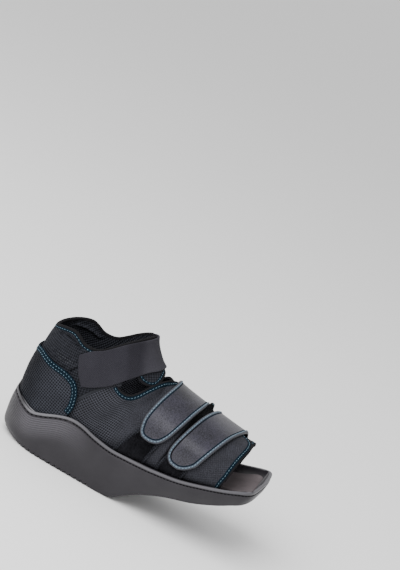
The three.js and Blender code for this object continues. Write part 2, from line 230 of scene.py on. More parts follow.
# The insole's stations, and its half girth to each side of the bottom line
INSOLE_GIRTHS = [
    (7.4, 0.05), (7.25, 0.11), (7.0, 0.155), (6.4, 0.175), (5.0, 0.18), (3.5, 0.18),
    (2.0, 0.18), (1.1, 0.19), (0.5, 0.23), (0.15, 0.225), (0.03, 0.17)]

# Lines on the collar, as stations and girths: the crease under the top edge, two rows of quilting above the
# counter, and a short fold between the counter and the ankle strap. The table gives the depth and half width
# that each is sunk by. Then come the reach of the puckers, and the spots that stand for a sunk line and for a
# row of quilting stitches.
CREASE = [(11.0, -0.735), (10.77, -0.668), (10.41, -0.607), (10.14, -0.575), (9.95, -0.55)]
QUILTING = [(9.84, -0.694), (9.5, -0.624), (9.16, -0.568), (9.04, -0.546)]
LOW_QUILTING = [(9.58, -0.661), (9.28, -0.616), (9.08, -0.575)]
FOLD = [(8.62, -0.556), (8.68, -0.541), (8.765, -0.524)]
COLLAR_LINES = [(CREASE, 3.0, 1.7), (QUILTING, 1.4, 1.3), (LOW_QUILTING, 1.2, 1.1), (FOLD, 1.8, 0.8)]
PUCKER_REACH = 6
CREASE_SPOTS = 40
QUILTING_SPOTS = 60

# Waves in the cloth. Columns: height, radians to a station, radians to a girth of 1, phase in radians. Those
# of the quarters' cloth have their heights as shares of the cloth's height.
COLLAR_WAVES = [(0.15, 3.1, 8, 0)]
PUCKERS = [(0.5, 7, 46, 0), (0.34, 15, -38, 0)]
CLOTH_HEIGHT = 0.22
CLOTH_WAVES = [(1, 2.3, 9, 0), (0.6, 4.1, -13, 1)]

# Girths and stations between which an upper layer climbs onto the one beneath it, or comes down again.
FLAP_CLIMB = (-0.22, -0.1)
WING_CLIMB = (-0.4, -0.27)
WING_FRONT = (5.3, 5.8)
WING_BACK = (6.5, 6.9)
STRAP_CLIMB = (-0.3, -0.14)
STRAP_FALL = (0.12, 0.28)

# Curl of the outer flap's edge between the straps: its middle and spread in stations, its girths, its height.
CURL_STATION = 3.33
CURL_SPREAD = 0.125
CURL_CLIMB = (-0.05, 0.07)
CURL_HEIGHT = 6.0

# Where finishes change and shade is painted, in metres in the shoe's frame: the end of the quarters' open
# mesh, and the back of the heel where the counter gets painted shade, both along the shoe, and the start and
# end of the ankle strap's turn, where its webbing gets painted shade and then painted light, along the
# strap's run.
LENGTHWISE = (1, 0, 0)
UPWARD = (0, 0, 1)
STRAP_RUN = (1.0, 0.0, 0.467)
OPEN_MESH_END = (-26 * MM, -4 * MM)
HEEL_BACK_SHADE = (-122 * MM, -96 * MM)
TURN_SHADE_START = (18 * MM, 25 * MM)
TURN_SHADE_END = (32 * MM, 43 * MM)

# The shaded gap between the forefoot straps: the girth of a spot on it, how far the shade spreads to each
# side of it, and the heights between which the shade comes in, in metres.
GAP_SHADE_GIRTH = -0.12
GAP_SHADE_SPREAD = (3.0 * MM, 6.5 * MM)
GAP_SHADE_RISE = (48 * MM, 64 * MM)

# Room in the sole round the form: station, distance.
SOLE_ROOM = [
    (0, QUARTER_WALL),
    (2.2, QUARTER_WALL),
    (2.6, QUARTER_WALL + GAP + LOOP_WALL),
    (4.9, QUARTER_WALL + GAP + LOOP_WALL),
    (5.3, QUARTER_WALL),
    (6.1, QUARTER_WALL),
    (6.5, COLLAR_WALL + GAP + COUNTER_WALL),
    (9, COLLAR_WALL + GAP + COUNTER_WALL),
]

# Sole outline from the heel to the toe along one side; the other side mirrors it.
# Columns: x, half width and z of the rim, then x, half width and z of the foot of the wall.
SOLE = [
    (-0.7, 0, 50.5, 3.5, 0, 5),
    (2, 13, 46.8, 6, 11, 4),
    (9, 24, 44.6, 14, 20.5, 3),
    (19, 31.5, 41, 24, 28.5, 1.7),
    (30, 36, 39.3, 35, 33.5, 0),
    (42, 39, 43.6, 46, 37, 0),
    (57, 40.5, 50.5, 58, 38.3, 0),
    (69, 41.5, 54, 70, 39, 0),
    (82, 41.5, 53.5, 84, 39.5, 0),
    (100, 41.5, 49, 102, 40, 0),
    (118, 42, 46.6, 125, 40.5, 0),
    (137, 43.5, 47.6, 137, 40.8, 2.3),
    (150, 45.5, 49, 147, 41.2, 9.5),
    (164, 47.5, 50.8, 160, 42, 18.6),
    (191, 50.5, 55.8, 184, 44, 30),
    (216, 52, 63.2, 212, 46.5, 39.6),
    (236, 51, 69.6, 234, 47, 49.5),
    (249, 48.5, 74.3, 247, 45, 56.3),
    (257.5, 44.5, 77, 256.5, 42, 61.2),
    (262, 33, 78, 261.7, 31, 65),
    (264, 0, 78.3, 263.5, 0, 67),
]

# Section of the sole's lip and groove. Columns: distance out from the rim, height above the rim.
LIP = [
    (-9, -0.6),
    (-5.8, -0.55),
    (-5.0, -0.3),
    (-4.4, -0.35),
    (-4.0, -0.75),
    (-3.6, -1.1),
    (-3.2, -0.8),
    (-2.7, -0.3),
    (-2.1, -0.25),
    (-1.8, -0.07),
    (-1.5, 0.1),
    (-1.2, 0.03),
    (-0.9, -0.05),
    (-0.65, -0.2),
    (-0.4, -0.4),
    (-0.1, -0.9),
    (0, -1.6),
    (-0.03, -2.4),
    (-0.12, -2.9),
    (-0.35, -3.2),
    (-0.65, -3.4),
    (-0.7, -3.75),
    (-0.5, -4.05),
    (-0.15, -4.3),
    (0.05, -4.45),
]
GROOVE_BED = 21

# The heel: a second ridge inside the lip with a valley before it, and a swell low on its back. Places count
# SOLE rows, insets are distances in from the rim, and the swell's rise and fall are powers of the share down
# the wall.
RIDGE_HEIGHT = 1.3
RIDGE_INSET = 2.1
RIDGE_HALF = 0.4
VALLEY_DEPTH = 1.0
VALLEY_INSET = 1.35
VALLEY_HALF = 0.35
RIDGE_FADE = (3.8, 4.4)
SWELL = 3.8
SWELL_FADE = (2.0, 4.5)
SWELL_RISE = 3
SWELL_FALL = 10

# The sole wall's bulge: its share at the top, and how far its middle lies toward the top
BULGE_TOP = 0.15
BULGE_LEAN = 0.85

# Angle in degrees from which the sole's edges are sharp
SOLE_SHARP = 40

# Mesh steps: of the sole between its rows, down its wall and round the wall's foot, then of each panel
SOLE_ROW_STEPS = 12
WALL_STEPS = 22
FOOT_STEPS = 6
QUARTER_STEP = 1.5
COLLAR_STEP = 1.15
COUNTER_STEP = 1.8
LOOP_STEP = 1.5
STRAP_STEP = 1.6
ANKLE_STRAP_STEP = 1.8
INSOLE_STEP = 2.5

# Directions that the threads of the collar's knit and the counter's mesh run along
COLLAR_GRAIN = (0.35, 0, 1)
COUNTER_GRAIN = (0.1, 0, 1)

# Trims along an edge. A binding has a width, a thickness and the swell of its face. A tape has its start in
# from the edge, a width and a thickness. A row of stitches has its place in from the edge, its height on the
# cloth, and stitch sizes of its own where they aren't the usual ones.
QUARTER_BINDING = {"width": 1.9, "thick": 0.35}
QUARTER_TAPE = {"start": 1.8, "width": 3.6, "thick": 0.25}
QUARTER_ROW = {"inward": 3.6, "lift": 0.35, "length": 2.3, "thread": 0.2}
COLLAR_BINDING = {"width": 2.4, "thick": 0.3}
COLLAR_TAPE = {"start": 2.3, "width": 2.6, "thick": 0.15}
COLLAR_ROW = {"inward": 3.6, "lift": 0.25, "thread": 0.18}
COUNTER_TAPE = {"start": -0.5, "width": 6.2, "thick": 0.5}
COUNTER_ROWS = [{"inward": 1.1, "lift": 0.6}, {"inward": 4.1, "lift": 0.6}]
STRAP_EDGING = {"width": 3.1, "thick": 0.3, "crown": 0.6}
STRAP_TAPE = {"start": 3.0, "width": 1.4, "thick": 0.08}
STRAP_ROW = {"inward": 2.1, "lift": 0.8, "length": 2.4, "thread": 0.36}
STRAP_END_ROWS = [{"inward": 3.0, "lift": 0.1}, {"inward": 6.0, "lift": 0.1}]
PATCH_BORDER = {"start": -0.8, "width": 3.2, "thick": 0.3}

# Stitches of the quilting, and of the sole's groove round the heel and round the toe
QUILTING_STITCH = {"pitch": 2.9, "length": 1.8, "thread": 0.24}
HEEL_STITCH = {"pitch": 5.2, "length": 3.1, "thread": 0.7}
TOE_STITCH = {"pitch": 3.4, "length": 3.2, "thread": 0.7}

# Where trims begin and end. Most are panel rows: of the quarter's binding at the throat, of its seam's front
# end, and of the collar's and the counter's trims on their lower edges. The seam's low end is a share across.
THROAT_START = 1.2
SEAM_LOW = 0.75
SEAM_FRONT = 1.3
COLLAR_TRIM_ENDS = (7.4, 25)
COUNTER_TRIM_END = 2.5

# Rounds of softening that give the trims of the counter and of the straps their round corners
COUNTER_ROUNDING = 16
STRAP_ROUNDING = 24

# Loop pile: loops on a patch, margins kept clear along and across it, the least height and half width of a
# loop with what may come on top, its yarn's half thickness, how far it is sunk, its mesh steps
PILE_LOOPS = 2600
PILE_MARGINS = (0.06, 0.03)
LOOP_TALL = (0.45, 0.35)
LOOP_WIDE = (0.35, 0.25)
LOOP_YARN = 0.11
LOOP_SINK = 0.1
LOOP_RINGS = 6
LOOP_SIDES = 3

# Laying a panel flat: grid rows to a panel row, places across, rounds of easing, share eased in a round
FLAT_ROWS = 4
FLAT_PLACES = 13
FLAT_ROUNDS = 500
FLAT_EASE = 0.14


def smooth(value, start, end):
    share = np.clip((value - start) / (end - start), 0, 1)
    return share * share * (3 - 2 * share)


def mirrored(rows, middle):
    """Panel rows on the other side of a girth."""
    return [(s, 2 * middle - g, t, 2 * middle - h) for s, g, t, h in rows]


def along_rows(rows, place):
    """A smooth curve through table rows, at places counted in rows."""
    rows = np.asarray(rows, float)
    place = np.asarray(place, float)
    last = len(rows) - 1
    i = np.clip(np.floor(place).astype(int), 0, last - 1)
    t = (place - i)[..., None]
    here, ahead = rows[i], rows[i + 1]
    before = np.where((i > 0)[..., None], rows[np.maximum(i - 1, 0)], 2 * here - ahead)
    after = np.where((i < last - 1)[..., None], rows[np.minimum(i + 2, last)], 2 * ahead - here)
    rise = ahead - before
    bend = 2 * before - 5 * here + 4 * ahead - after
    twist = 3 * here - before - 3 * ahead + after
    return here + t * (rise + t * (bend + t * twist)) / 2


def stepped(rows, place):
    """Eased steps through rows of (place, value)."""
    value = np.full(np.shape(place), float(rows[0][1]))
    for (start, low), (end, high) in zip(rows, rows[1:]):
        value = value + (high - low) * smooth(place, start, end)
    return value


def on_form(station, girth):
    """Points on the form at stations and girths."""
    row = along_rows(FORM, station)
    top_x, top_z, bottom_x, bottom_z, half, belly, top_square, bottom_square = np.moveaxis(row, -1, 0)
    up = np.cos(np.pi * girth)
    side = np.sin(np.pi * girth)
    square = np.where(up > 0, top_square, bottom_square)
    reach = (np.abs(up) ** square + np.abs(side) ** square) ** (-1 / square)
    height = belly + reach * up * np.where(up > 0, 1 - belly, belly)
    x = bottom_x + (top_x - bottom_x) * height
    z = bottom_z + (top_z - bottom_z) * height
    return np.stack([x, half * reach * side, z], axis=-1)


def unit(vectors):
    return vectors / np.maximum(np.linalg.norm(vectors, axis=-1, keepdims=True), 1e-12)


def slopes(station, girth, step=1e-3):
    """How the form's surface runs with station and with girth."""
    along = on_form(station + step, girth) - on_form(station - step, girth)
    around = on_form(station, girth + step) - on_form(station, girth - step)
    return along / (2 * step), around / (2 * step)


def off_form(station, girth, distance):
    """A point at a distance outside the form."""
    along, around = slopes(station, girth)
    out = unit(np.cross(around, along))
    return on_form(station, girth) + out * np.asarray(distance)[..., None]


def outer_quarter_height(station, girth):
    """The outer quarter lies over the collar wing at the throat and over the inner quarter on top."""
    over_flap = (QUARTER_WALL + GAP) * smooth(girth, *FLAP_CLIMB)
    at_throat = smooth(station, *WING_FRONT) * (1 - smooth(station, *WING_BACK))
    over_wing = (COLLAR_WALL + 2 * GAP) * smooth(girth, *WING_CLIMB) * at_throat
    return np.maximum(over_flap, over_wing)


def strap_height(station, girth):
    """A forefoot strap lies on its loop patch, then over both flaps, then on the inner quarter."""
    on_patch = QUARTER_WALL + LOOP_WALL + 2 * GAP
    on_flaps = 2 * (QUARTER_WALL + GAP)
    on_quarter = QUARTER_WALL + GAP
    risen = on_patch + (on_flaps - on_patch) * smooth(girth, *STRAP_CLIMB)
    return risen + (on_quarter - risen) * smooth(girth, *STRAP_FALL)


def lengths(points):
    """Distance along a line of points, from its start; lines may also be given as the rows of a grid."""
    steps = np.linalg.norm(np.diff(points, axis=-2), axis=-1)
    return np.concatenate([np.zeros(steps.shape[:-1] + (1,)), np.cumsum(steps, axis=-1)], axis=-1)


class Panel:
    """A sheet on the form between two edge lines, its inner face at a height above the form."""

    def __init__(self, rows, wall, base, relief=None):
        self.rows = np.array(rows, float)
        self.last = len(rows) - 1
        self.wall = wall
        self.base = base
        self.relief = relief

    def spot(self, along, across):
        """Station and girth at a place counted in rows along and as a share across."""
        row = along_rows(self.rows, along)
        share = np.asarray(across, float)[..., None]
        return row[..., :2] * (1 - share) + row[..., 2:] * share

    def lifted(self, spot, lift):
        """Points at a height above the panel's inner face."""
        station, girth = spot[..., 0], spot[..., 1]
        base = self.base(station, girth) if callable(self.base) else self.base
        if self.relief:
            base = base + self.relief(station, girth)
        return off_form(station, girth, base + np.zeros(np.shape(station)) + lift)


# Neighbours in a grid of places: along it, across it and on both diagonals
GRID_LINKS = [
    (np.s_[:-1, :], np.s_[1:, :]),
    (np.s_[:, :-1], np.s_[:, 1:]),
    (np.s_[:-1, :-1], np.s_[1:, 1:]),
    (np.s_[:-1, 1:], np.s_[1:, :-1]),
]


def laid_flat(worn):
    """A grid of worn places laid flat, with the lengths between neighbours kept."""
    middle = worn.shape[1] // 2
    flat = np.zeros(worn.shape[:2] + (2,))
    flat[..., 0] = lengths(worn[:, middle])[:, None]
    flat[:, 1:, 1] = np.cumsum(np.linalg.norm(np.diff(worn, axis=1), axis=2), axis=1)
    flat[..., 1] -= flat[:, middle:middle + 1, 1]
    true = [np.linalg.norm(worn[b] - worn[a], axis=2, keepdims=True) for a, b in GRID_LINKS]
    for _ in range(FLAT_ROUNDS):
        move = np.zeros_like(flat)
        for (a, b), length in zip(GRID_LINKS, true):
            gap = flat[b] - flat[a]
            now = np.maximum(np.linalg.norm(gap, axis=2, keepdims=True), 1e-9)
            pull = FLAT_EASE * gap * (1 - length / now)
            move[a] += pull
            move[b] -= pull
        flat = flat + move
    return flat


def middle_steps(grid):
    """A step along and a step across from a grid's middle, as columns."""
    i, j = grid.shape[0] // 2, grid.shape[1] // 2
    return np.stack([grid[i + 1, j] - grid[i, j], grid[i, j + 1] - grid[i, j]], axis=1)


def flat_pattern(panel, grain):
    """The panel's cut before it was sewn: a coarse grid of its places, and where they lie on the cut.
    The cloth's threads run along the direction that grain has at the panel's middle."""
    along = np.linspace(0, panel.last, FLAT_ROWS * panel.last + 1)
    across = np.linspace(0, 1, FLAT_PLACES)
    worn = panel.lifted(panel.spot(along[:, None], across[None, :]), panel.wall)
    flat = laid_flat(worn)
    run = middle_steps(flat) @ np.linalg.lstsq(middle_steps(worn), np.array(grain, float), rcond=None)[0]
    run = run / np.linalg.norm(run)
    turned = np.stack([flat @ run, flat @ np.array([-run[1], run[0]])], axis=2)
    return along, across, turned - turned.reshape(-1, 2).min(axis=0)


def on_pattern(pattern, along, across):
    """Flat places of points given by rows along and shares across."""
    rows, shares, flat = pattern
    i = np.clip(np.searchsorted(rows, along) - 1, 0, len(rows) - 2)
    j = np.clip(np.searchsorted(shares, across) - 1, 0, len(shares) - 2)
    u = ((along - rows[i]) / (rows[i + 1] - rows[i]))[..., None]
    v = ((across - shares[j]) / (shares[j + 1] - shares[j]))[..., None]
    near = flat[i, j] * (1 - v) + flat[i, j + 1] * v
    far = flat[i + 1, j] * (1 - v) + flat[i + 1, j + 1] * v
    return near * (1 - u) + far * u


def heel_ridge(inset):
    """Height that the second heel ridge and its valley add to the lip."""
    ridge = RIDGE_HEIGHT * math.exp(-((inset - RIDGE_INSET) / RIDGE_HALF) ** 2)
    valley = VALLEY_DEPTH * math.exp(-((inset - VALLEY_INSET) / VALLEY_HALF) ** 2)
    return ridge - valley


def sole_outward(places, step=0.02):
    """Directions out from the sole's outline, as x and y."""
    last = len(SOLE) - 1
    ahead = along_rows(SOLE, np.minimum(places + step, last))
    behind = along_rows(SOLE, np.maximum(places - step, 0))
    run = unit(ahead[:, :2] - behind[:, :2])
    out_x, out_y = -run[:, 1], run[:, 0].copy()
    for end, sign in ((places == 0, -1), (places == last, 1)):
        out_x[end] = sign
        out_y[end] = 0
    return out_x, out_y


def sole_section(places, rim_z, foot_z, ridged):
    """Points from the lip to the tread, as share of the way from rim to foot, distance out and height."""
    wall_top = rim_z - LIP_HEIGHT - GROOVE_HEIGHT
    wall_low = foot_z + FOOT_ROUND
    full_bulge = WALL_BULGE * np.minimum((wall_top - wall_low) / TALL_WALL, 1)
    ridge_share = ridged * (1 - smooth(places, *RIDGE_FADE))
    swell = SWELL * (1 - smooth(places, *SWELL_FADE))
    section = []
    for out, rise in LIP:
        section.append((0.0, out, rim_z + rise + ridge_share * heel_ridge(-out)))
    for share in np.linspace(0, 1, WALL_STEPS)[:-1]:
        bulge = full_bulge * (BULGE_TOP * (1 - share) + math.sin(math.pi * share ** BULGE_LEAN))
        bulge = bulge + swell * share ** SWELL_RISE * (1 - share ** SWELL_FALL)
        section.append((share, bulge, wall_top + (wall_low - wall_top) * share))
    for turn in np.linspace(0, math.pi / 2, FOOT_STEPS):
        inward = FOOT_ROUND * (1 - math.cos(turn))
        section.append((1.0, -inward, wall_low - FOOT_ROUND * math.sin(turn)))
    return section


def sole_side(places, side, ridged=True):
    """Points of one side of the sole: a row for each place along it, from the lip to the tread."""
    rim_x, rim_half, rim_z, foot_x, foot_half, foot_z = np.moveaxis(along_rows(SOLE, places), -1, 0)
    out_x, out_y = sole_outward(places)
    columns = []
    for share, out, z in sole_section(places, rim_z, foot_z, ridged):
        x = rim_x + (foot_x - rim_x) * share + out_x * out
        y = side * (rim_half + (foot_half - rim_half) * share + out_y * out)
        x = x + TOE_SKEW * y * smooth(x, *SKEW_RUN)
        columns.append(np.stack([x, y, np.maximum(z, 0)], axis=1))
    return np.stack(columns, axis=1)


SOLE_PLACES = np.linspace(0, len(SOLE) - 1, SOLE_ROW_STEPS * (len(SOLE) - 1) + 1)
SOLE_SIDES = [sole_side(SOLE_PLACES, side) for side in (-1, 1)]

# Where the form's frame lies in the shoe's: the sole is the longest piece, so its toe end sets the place.
SOLE_TOE = max(points[..., 0].max() for points in SOLE_SIDES)
SHIFT_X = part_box("sole")[1].x / MM - SOLE_TOE


def placed(points):
    """Points of the form's frame, in the shoe's frame and in metres."""
    return (np.asarray(points) + (SHIFT_X, 0, 0)) * MM


def mesh_object(name, points, faces, flat=None):
    """A mesh in the shoe's frame; flat is each point's place on its cut, kept as a UV map in centimetres."""
    mesh = bpy.data.meshes.new(name)
    mesh.from_pydata(placed(points).tolist(), [], [list(map(int, face)) for face in faces])
    mesh.validate()
    if flat is not None:
        corners = np.zeros(len(mesh.loops), int)
        mesh.loops.foreach_get("vertex_index", corners)
        layer = mesh.uv_layers.new(name="flat_pattern")
        layer.data.foreach_set("uv", (np.asarray(flat)[corners] / CM).astype(np.float32).ravel())
    obj = bpy.data.objects.new(name, mesh)
    bpy.context.scene.collection.objects.link(obj)
    return obj


def finish_piece(piece, finish, sharp_degrees=60):
    """Gives a piece its finish and hangs it on the shoe."""
    piece.data.materials.clear()
    piece.data.materials.append(finish)
    piece.data.shade_smooth()
    piece.data.set_sharp_from_angle(angle=math.radians(sharp_degrees))
    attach(piece, "root")
    return piece


def facing_out(points, faces):
    """Faces of a closed body, all turned to point out."""
    points = np.asarray(points)
    volume = 0.0
    for face in faces:
        a = points[face[0]]
        for b, c in zip(face[1:], face[2:]):
            volume += a @ np.cross(points[b], points[c])
    return faces if volume > 0 else [face[::-1] for face in faces]


def grid_quads(index):
    """Quads between neighbouring rows of a grid of point numbers."""
    a, b, c, d = index[:-1, :-1], index[:-1, 1:], index[1:, 1:], index[1:, :-1]
    return np.stack([a, b, c, d], axis=-1).reshape(-1, 4).tolist()


# Meshing a panel: places inside a round edge, fine places to a row, probes across, least steps each way, and
# the widest that a round edge may be as a share of the panel's width
EDGE_STEPS = np.array([0, 0.08, 0.3, 0.62, 1])
FINE_PLACES = 60
PROBES = 25
LEAST_STEPS = 4
WIDEST_EDGE = 0.3


def edge_spaced(total, edge, count):
    """Distances from 0 to total: close together inside the round edges, even between them."""
    near = edge[:, None] * EDGE_STEPS
    even = np.linspace(0, 1, count + 1)[None, 1:-1]
    middle = edge[:, None] + (total - 2 * edge)[:, None] * even
    return np.concatenate([near, middle, total[:, None] - near[:, ::-1]], axis=1)


def panel_grid(panel, step):
    """Places of a panel's mesh, as rows along and shares across. A third grid holds how far in from the
    nearest edge they lie, as a share of the round edge."""
    half = panel.wall / 2
    fine = np.linspace(0, panel.last, FINE_PLACES * panel.last + 1)
    run = lengths(panel.lifted(panel.spot(fine, np.full(len(fine), 0.5)), half))
    total = run[-1]
    count = max(LEAST_STEPS, round(total / step))
    down = edge_spaced(np.array([total]), np.array([half]), count)[0]
    along = np.interp(down, run, fine)[:, None]
    probe = panel.lifted(panel.spot(along, np.linspace(0, 1, PROBES)[None, :]), half)
    width = np.linalg.norm(np.diff(probe, axis=1), axis=2).sum(axis=1)
    edge = np.minimum(half, WIDEST_EDGE * width)
    over = edge_spaced(width, edge, max(LEAST_STEPS, round(width.max() / step)))
    across = over / width[:, None]
    to_side = np.minimum(over, width[:, None] - over)
    to_end = np.minimum(down, total - down)[:, None]
    inside = np.clip(np.minimum(to_side, to_end) / half, 0, 1)
    return np.broadcast_to(along, across.shape), across, inside


def sheet_points(outer, inner):
    """Points of a closed sheet: an outer grid, then the inner grid without the border that both share."""
    size = outer.shape[-1]
    return np.concatenate([outer.reshape(-1, size), inner[1:-1, 1:-1].reshape(-1, size)])


def sheet_faces(rows, columns):
    """Faces of a closed sheet whose points come from sheet_points."""
    index = np.arange(rows * columns).reshape(rows, columns)
    under = index.copy()
    within = np.arange((rows - 2) * (columns - 2)).reshape(rows - 2, columns - 2)
    under[1:-1, 1:-1] = rows * columns + within
    return grid_quads(index) + [face[::-1] for face in grid_quads(under)]


def panel_mesh(name, panel, step, grain=LENGTHWISE):
    """A panel as a closed sheet with round edges, and the width, length and area of its cut."""
    half = panel.wall / 2
    along, across, inside = panel_grid(panel, step)
    spot = panel.spot(along, across)
    swell = half * np.sqrt(np.clip(1 - (1 - inside) ** 2, 0, 1))
    outer = panel.lifted(spot, half + swell)
    points = sheet_points(outer, panel.lifted(spot, half - swell))
    faces = facing_out(points, sheet_faces(*across.shape))
    pattern = flat_pattern(panel, grain)
    flat = on_pattern(pattern, along, across)
    piece = mesh_object(name, points, faces, sheet_points(flat, flat))
    wide, long = np.ptp(pattern[2].reshape(-1, 2), axis=0)
    edge_a = np.diff(outer, axis=0)[:, :-1]
    edge_b = np.diff(outer, axis=1)[:-1]
    area = np.linalg.norm(np.cross(edge_a, edge_b), axis=2).sum()
    return piece, (float(wide), float(long), float(area))


def at_distances(distances, run, values):
    """A line's values at distances along it; run holds the distances that they are known at."""
    return np.stack([np.interp(distances, run, column) for column in values.T], axis=1)


def softened(line, share):
    """A line whose spots are each drawn toward their neighbours, but for its ends."""
    line = line.copy()
    line[1:-1] = share * line[:-2] + (1 - 2 * share) * line[1:-1] + share * line[2:]
    return line


# Edge lines: places tried on each leg, fewest spots, and the shares that they are softened by
LEG_PLACES = 400
FEWEST_SPOTS = 8
CORNER_SOFTENING = 0.25
MOVE_SOFTENING = 0.1


def edge_line(panel, corners, step=0.8, rounding=6):
    """A line of spots along a panel's edges, through corners given as (rows along, share across).
    It comes with its inward side, as 1 or -1."""
    legs = []
    for start, end in zip(corners, corners[1:]):
        share = np.linspace(0, 1, LEG_PLACES)[:, None]
        legs.append(np.array(start) * (1 - share) + np.array(end) * share)
    places = np.concatenate(legs)
    spots = panel.spot(places[:, 0], places[:, 1])
    run = lengths(panel.lifted(spots, panel.wall))
    even = np.linspace(0, run[-1], max(FEWEST_SPOTS, round(run[-1] / step)))
    keep = np.concatenate([[True], np.diff(run) > 1e-9])
    line = at_distances(even, run[keep], spots[keep])
    for _ in range(rounding):
        line = softened(line, CORNER_SOFTENING)
    return line, inward_side(panel, line, at_distances(even, run[keep], places[keep]))


def inward_side(panel, line, places):
    """The side of an edge line that the panel's middle lies on, as 1 or -1."""
    rows = np.clip(places[:, 0], 1, panel.last - 1)
    heart = panel.lifted(panel.spot(rows, np.full(len(rows), 0.5)), panel.wall)
    here = panel.lifted(line, panel.wall)
    lean = (side_vectors(line) * (heart - here)).sum(axis=1).sum()
    return 1 if lean > 0 else -1


def side_vectors(line):
    """Directions in the form's surface, square to a line of spots."""
    along, around = slopes(line[:, 0], line[:, 1])
    run = unit(np.gradient(on_form(line[:, 0], line[:, 1]), axis=0))
    return unit(np.cross(unit(np.cross(around, along)), run))


def moved_in(edge, distance):
    """An edge line moved over the form, inward by a distance."""
    line, side = edge
    steps = max(1, math.ceil(abs(distance)))
    for _ in range(steps):
        along, around = slopes(line[:, 0], line[:, 1])
        want = side_vectors(line) * side * distance / steps
        aa, ar, rr = (along * along).sum(1), (along * around).sum(1), (around * around).sum(1)
        wa, wr = (want * along).sum(1), (want * around).sum(1)
        det = aa * rr - ar * ar
        line = line + np.stack([(wa * rr - wr * ar) / det, (wr * aa - wa * ar) / det], axis=1)
        line = softened(line, MOVE_SOFTENING)
    return line


def tube_faces(rings, sides):
    """Faces of a tube of rings of points, closed at both ends."""
    index = np.arange(rings * sides).reshape(rings, sides)
    wrapped = np.concatenate([index, index[:, :1]], axis=1)
    return grid_quads(wrapped) + [index[0][::-1].tolist(), index[-1].tolist()]


# A binding: its reach past the edge, the depth of its fold as a share of its roll, mesh steps of the fold,
# its face as shares of its width from the fold and shares of its swell, and its inner edge's height
EDGE_COVER = 0.1
FOLD_SHARE = 0.55
FOLD_STEPS = 9
BINDING_FACE = [(0.92, 0.2), (0.75, 0.75), (0.5, 1.0), (0.25, 0.75)]
BINDING_LAP = 0.05

# A tape: how far its edges and its middle sink in the wall, the inset and drop of its shoulder, its crown
TAPE_SINK = 0.1
TAPE_UNDER = 0.15
TAPE_SHOULDER = [(0.05, 0.12), (0.3, 0)]
TAPE_CROWN = 0.08

# A lapped seam's outline: distance in from the edge, height above the wall
SEAM = [
    (1.5, -0.2), (1.2, 0.12), (0.7, 0.5), (0.2, 0.6), (-0.3, 0.4),
    (-0.9, 0), (-1.8, -0.15), (-2.8, -0.3), (-2.8, -1.2), (-0.6, -1.0)]


def edge_band(name, panel, edge, section):
    """A band along an edge. section is its outline, as (distance in from the edge, height) pairs."""
    rows = []
    for inward, lift in section:
        rows.append(panel.lifted(moved_in(edge, inward), lift))
    points = np.stack(rows, axis=1)
    run = lengths(points[:, 0])
    girth = lengths(np.array(section))
    flat = np.stack(np.broadcast_arrays(run[:, None], girth[None, :]), axis=-1).reshape(-1, 2)
    faces = tube_faces(*points.shape[:2])
    points = points.reshape(-1, 3)
    return mesh_object(name, points, facing_out(points, faces), flat)


def binding_section(wall, width, thick, crown=0.06):
    """Outline of a binding folded round the edge of a wall; crown is how far its face swells."""
    low, top = -thick * 0.5, wall + thick
    roll = (top - low) / 2
    fold_depth = roll * FOLD_SHARE
    turn = np.linspace(math.pi / 2, -math.pi / 2, FOLD_STEPS)
    fold = [(fold_depth * (1 - math.cos(a)) - EDGE_COVER, low + roll + roll * math.sin(a)) for a in turn]
    start = fold[0][0]
    face = [(start + (width - start) * share, top + crown * swell) for share, swell in BINDING_FACE]
    under = [((start + width) / 2, low), (width, low), (width, wall * 0.5)]
    return [(width, wall + BINDING_LAP)] + face + fold + under


def tape_section(wall, start, width, thick):
    """Outline of a flat tape laid on a wall."""
    top = wall + thick
    middle = start + width / 2
    side = [(0, wall - TAPE_SINK)] + [(inset, top - drop) for inset, drop in TAPE_SHOULDER]
    near = [(start + inset, height) for inset, height in side]
    far = [(start + width - inset, height) for inset, height in reversed(side)]
    return near + [(middle, top + TAPE_CROWN)] + far + [(middle, wall - TAPE_UNDER)]


def seam_section(wall):
    """Outline of a lapped seam: a low ridge along an edge, with a lap that reaches the next piece."""
    return [(inward, wall + rise) for inward, rise in SEAM]


def small_tubes(name, rings):
    """Many like tubes as one mesh. Each ring along a tube is given for all tubes, as (tube, point, xyz)."""
    points = np.stack(rings, axis=1)
    count, ring_count, sides = points.shape[:3]
    points = points.reshape(count, -1, 3)
    one = facing_out(points[0], tube_faces(ring_count, sides))
    size = points.shape[1]
    faces = [[corner + k * size for corner in face] for k in range(count) for face in one]
    return mesh_object(name, points.reshape(-1, 3), faces)


# One stitch: rings along it, as (share of its length, share of its half thickness, sink of its ends).
STITCH_RINGS = [
    (-0.5, 0.35, 0.9), (-0.36, 0.85, 0.3), (-0.12, 1, 0),
    (0.12, 1, 0), (0.36, 0.85, 0.3), (0.5, 0.35, 0.9)]
STITCH_SIDES = 6


def stitch_mesh(name, line, out, pitch=STITCH_PITCH, length=STITCH_LENGTH, thread=THREAD):
    """Stitches along a line of points; out holds the directions away from the cloth."""
    run = lengths(line)
    centres = np.arange(pitch / 2, run[-1] - pitch / 2, pitch)
    at = at_distances(centres, run, line)
    up = unit(at_distances(centres, run, out))
    ahead = unit(at_distances(centres, run, np.gradient(line, axis=0)))
    side = np.cross(up, ahead)
    turns = np.arange(STITCH_SIDES) * 2 * math.pi / STITCH_SIDES
    rings = []
    for share, girth, sink in STITCH_RINGS:
        radius = thread * girth
        middle = at + ahead * share * length - up * sink * thread
        ring = [middle + side * radius * math.cos(a) + up * radius * math.sin(a) for a in turns]
        rings.append(np.stack(ring, axis=1))
    return small_tubes(name, rings)


def stitch_row(name, panel, edge, inward, lift=0.0, **sizes):
    """Stitches on a panel, along an edge and at a distance in from it."""
    line = moved_in(edge, inward)
    low = panel.lifted(line, panel.wall + lift)
    high = panel.lifted(line, panel.wall + lift + 1)
    return stitch_mesh(name, low, high - low, **sizes)


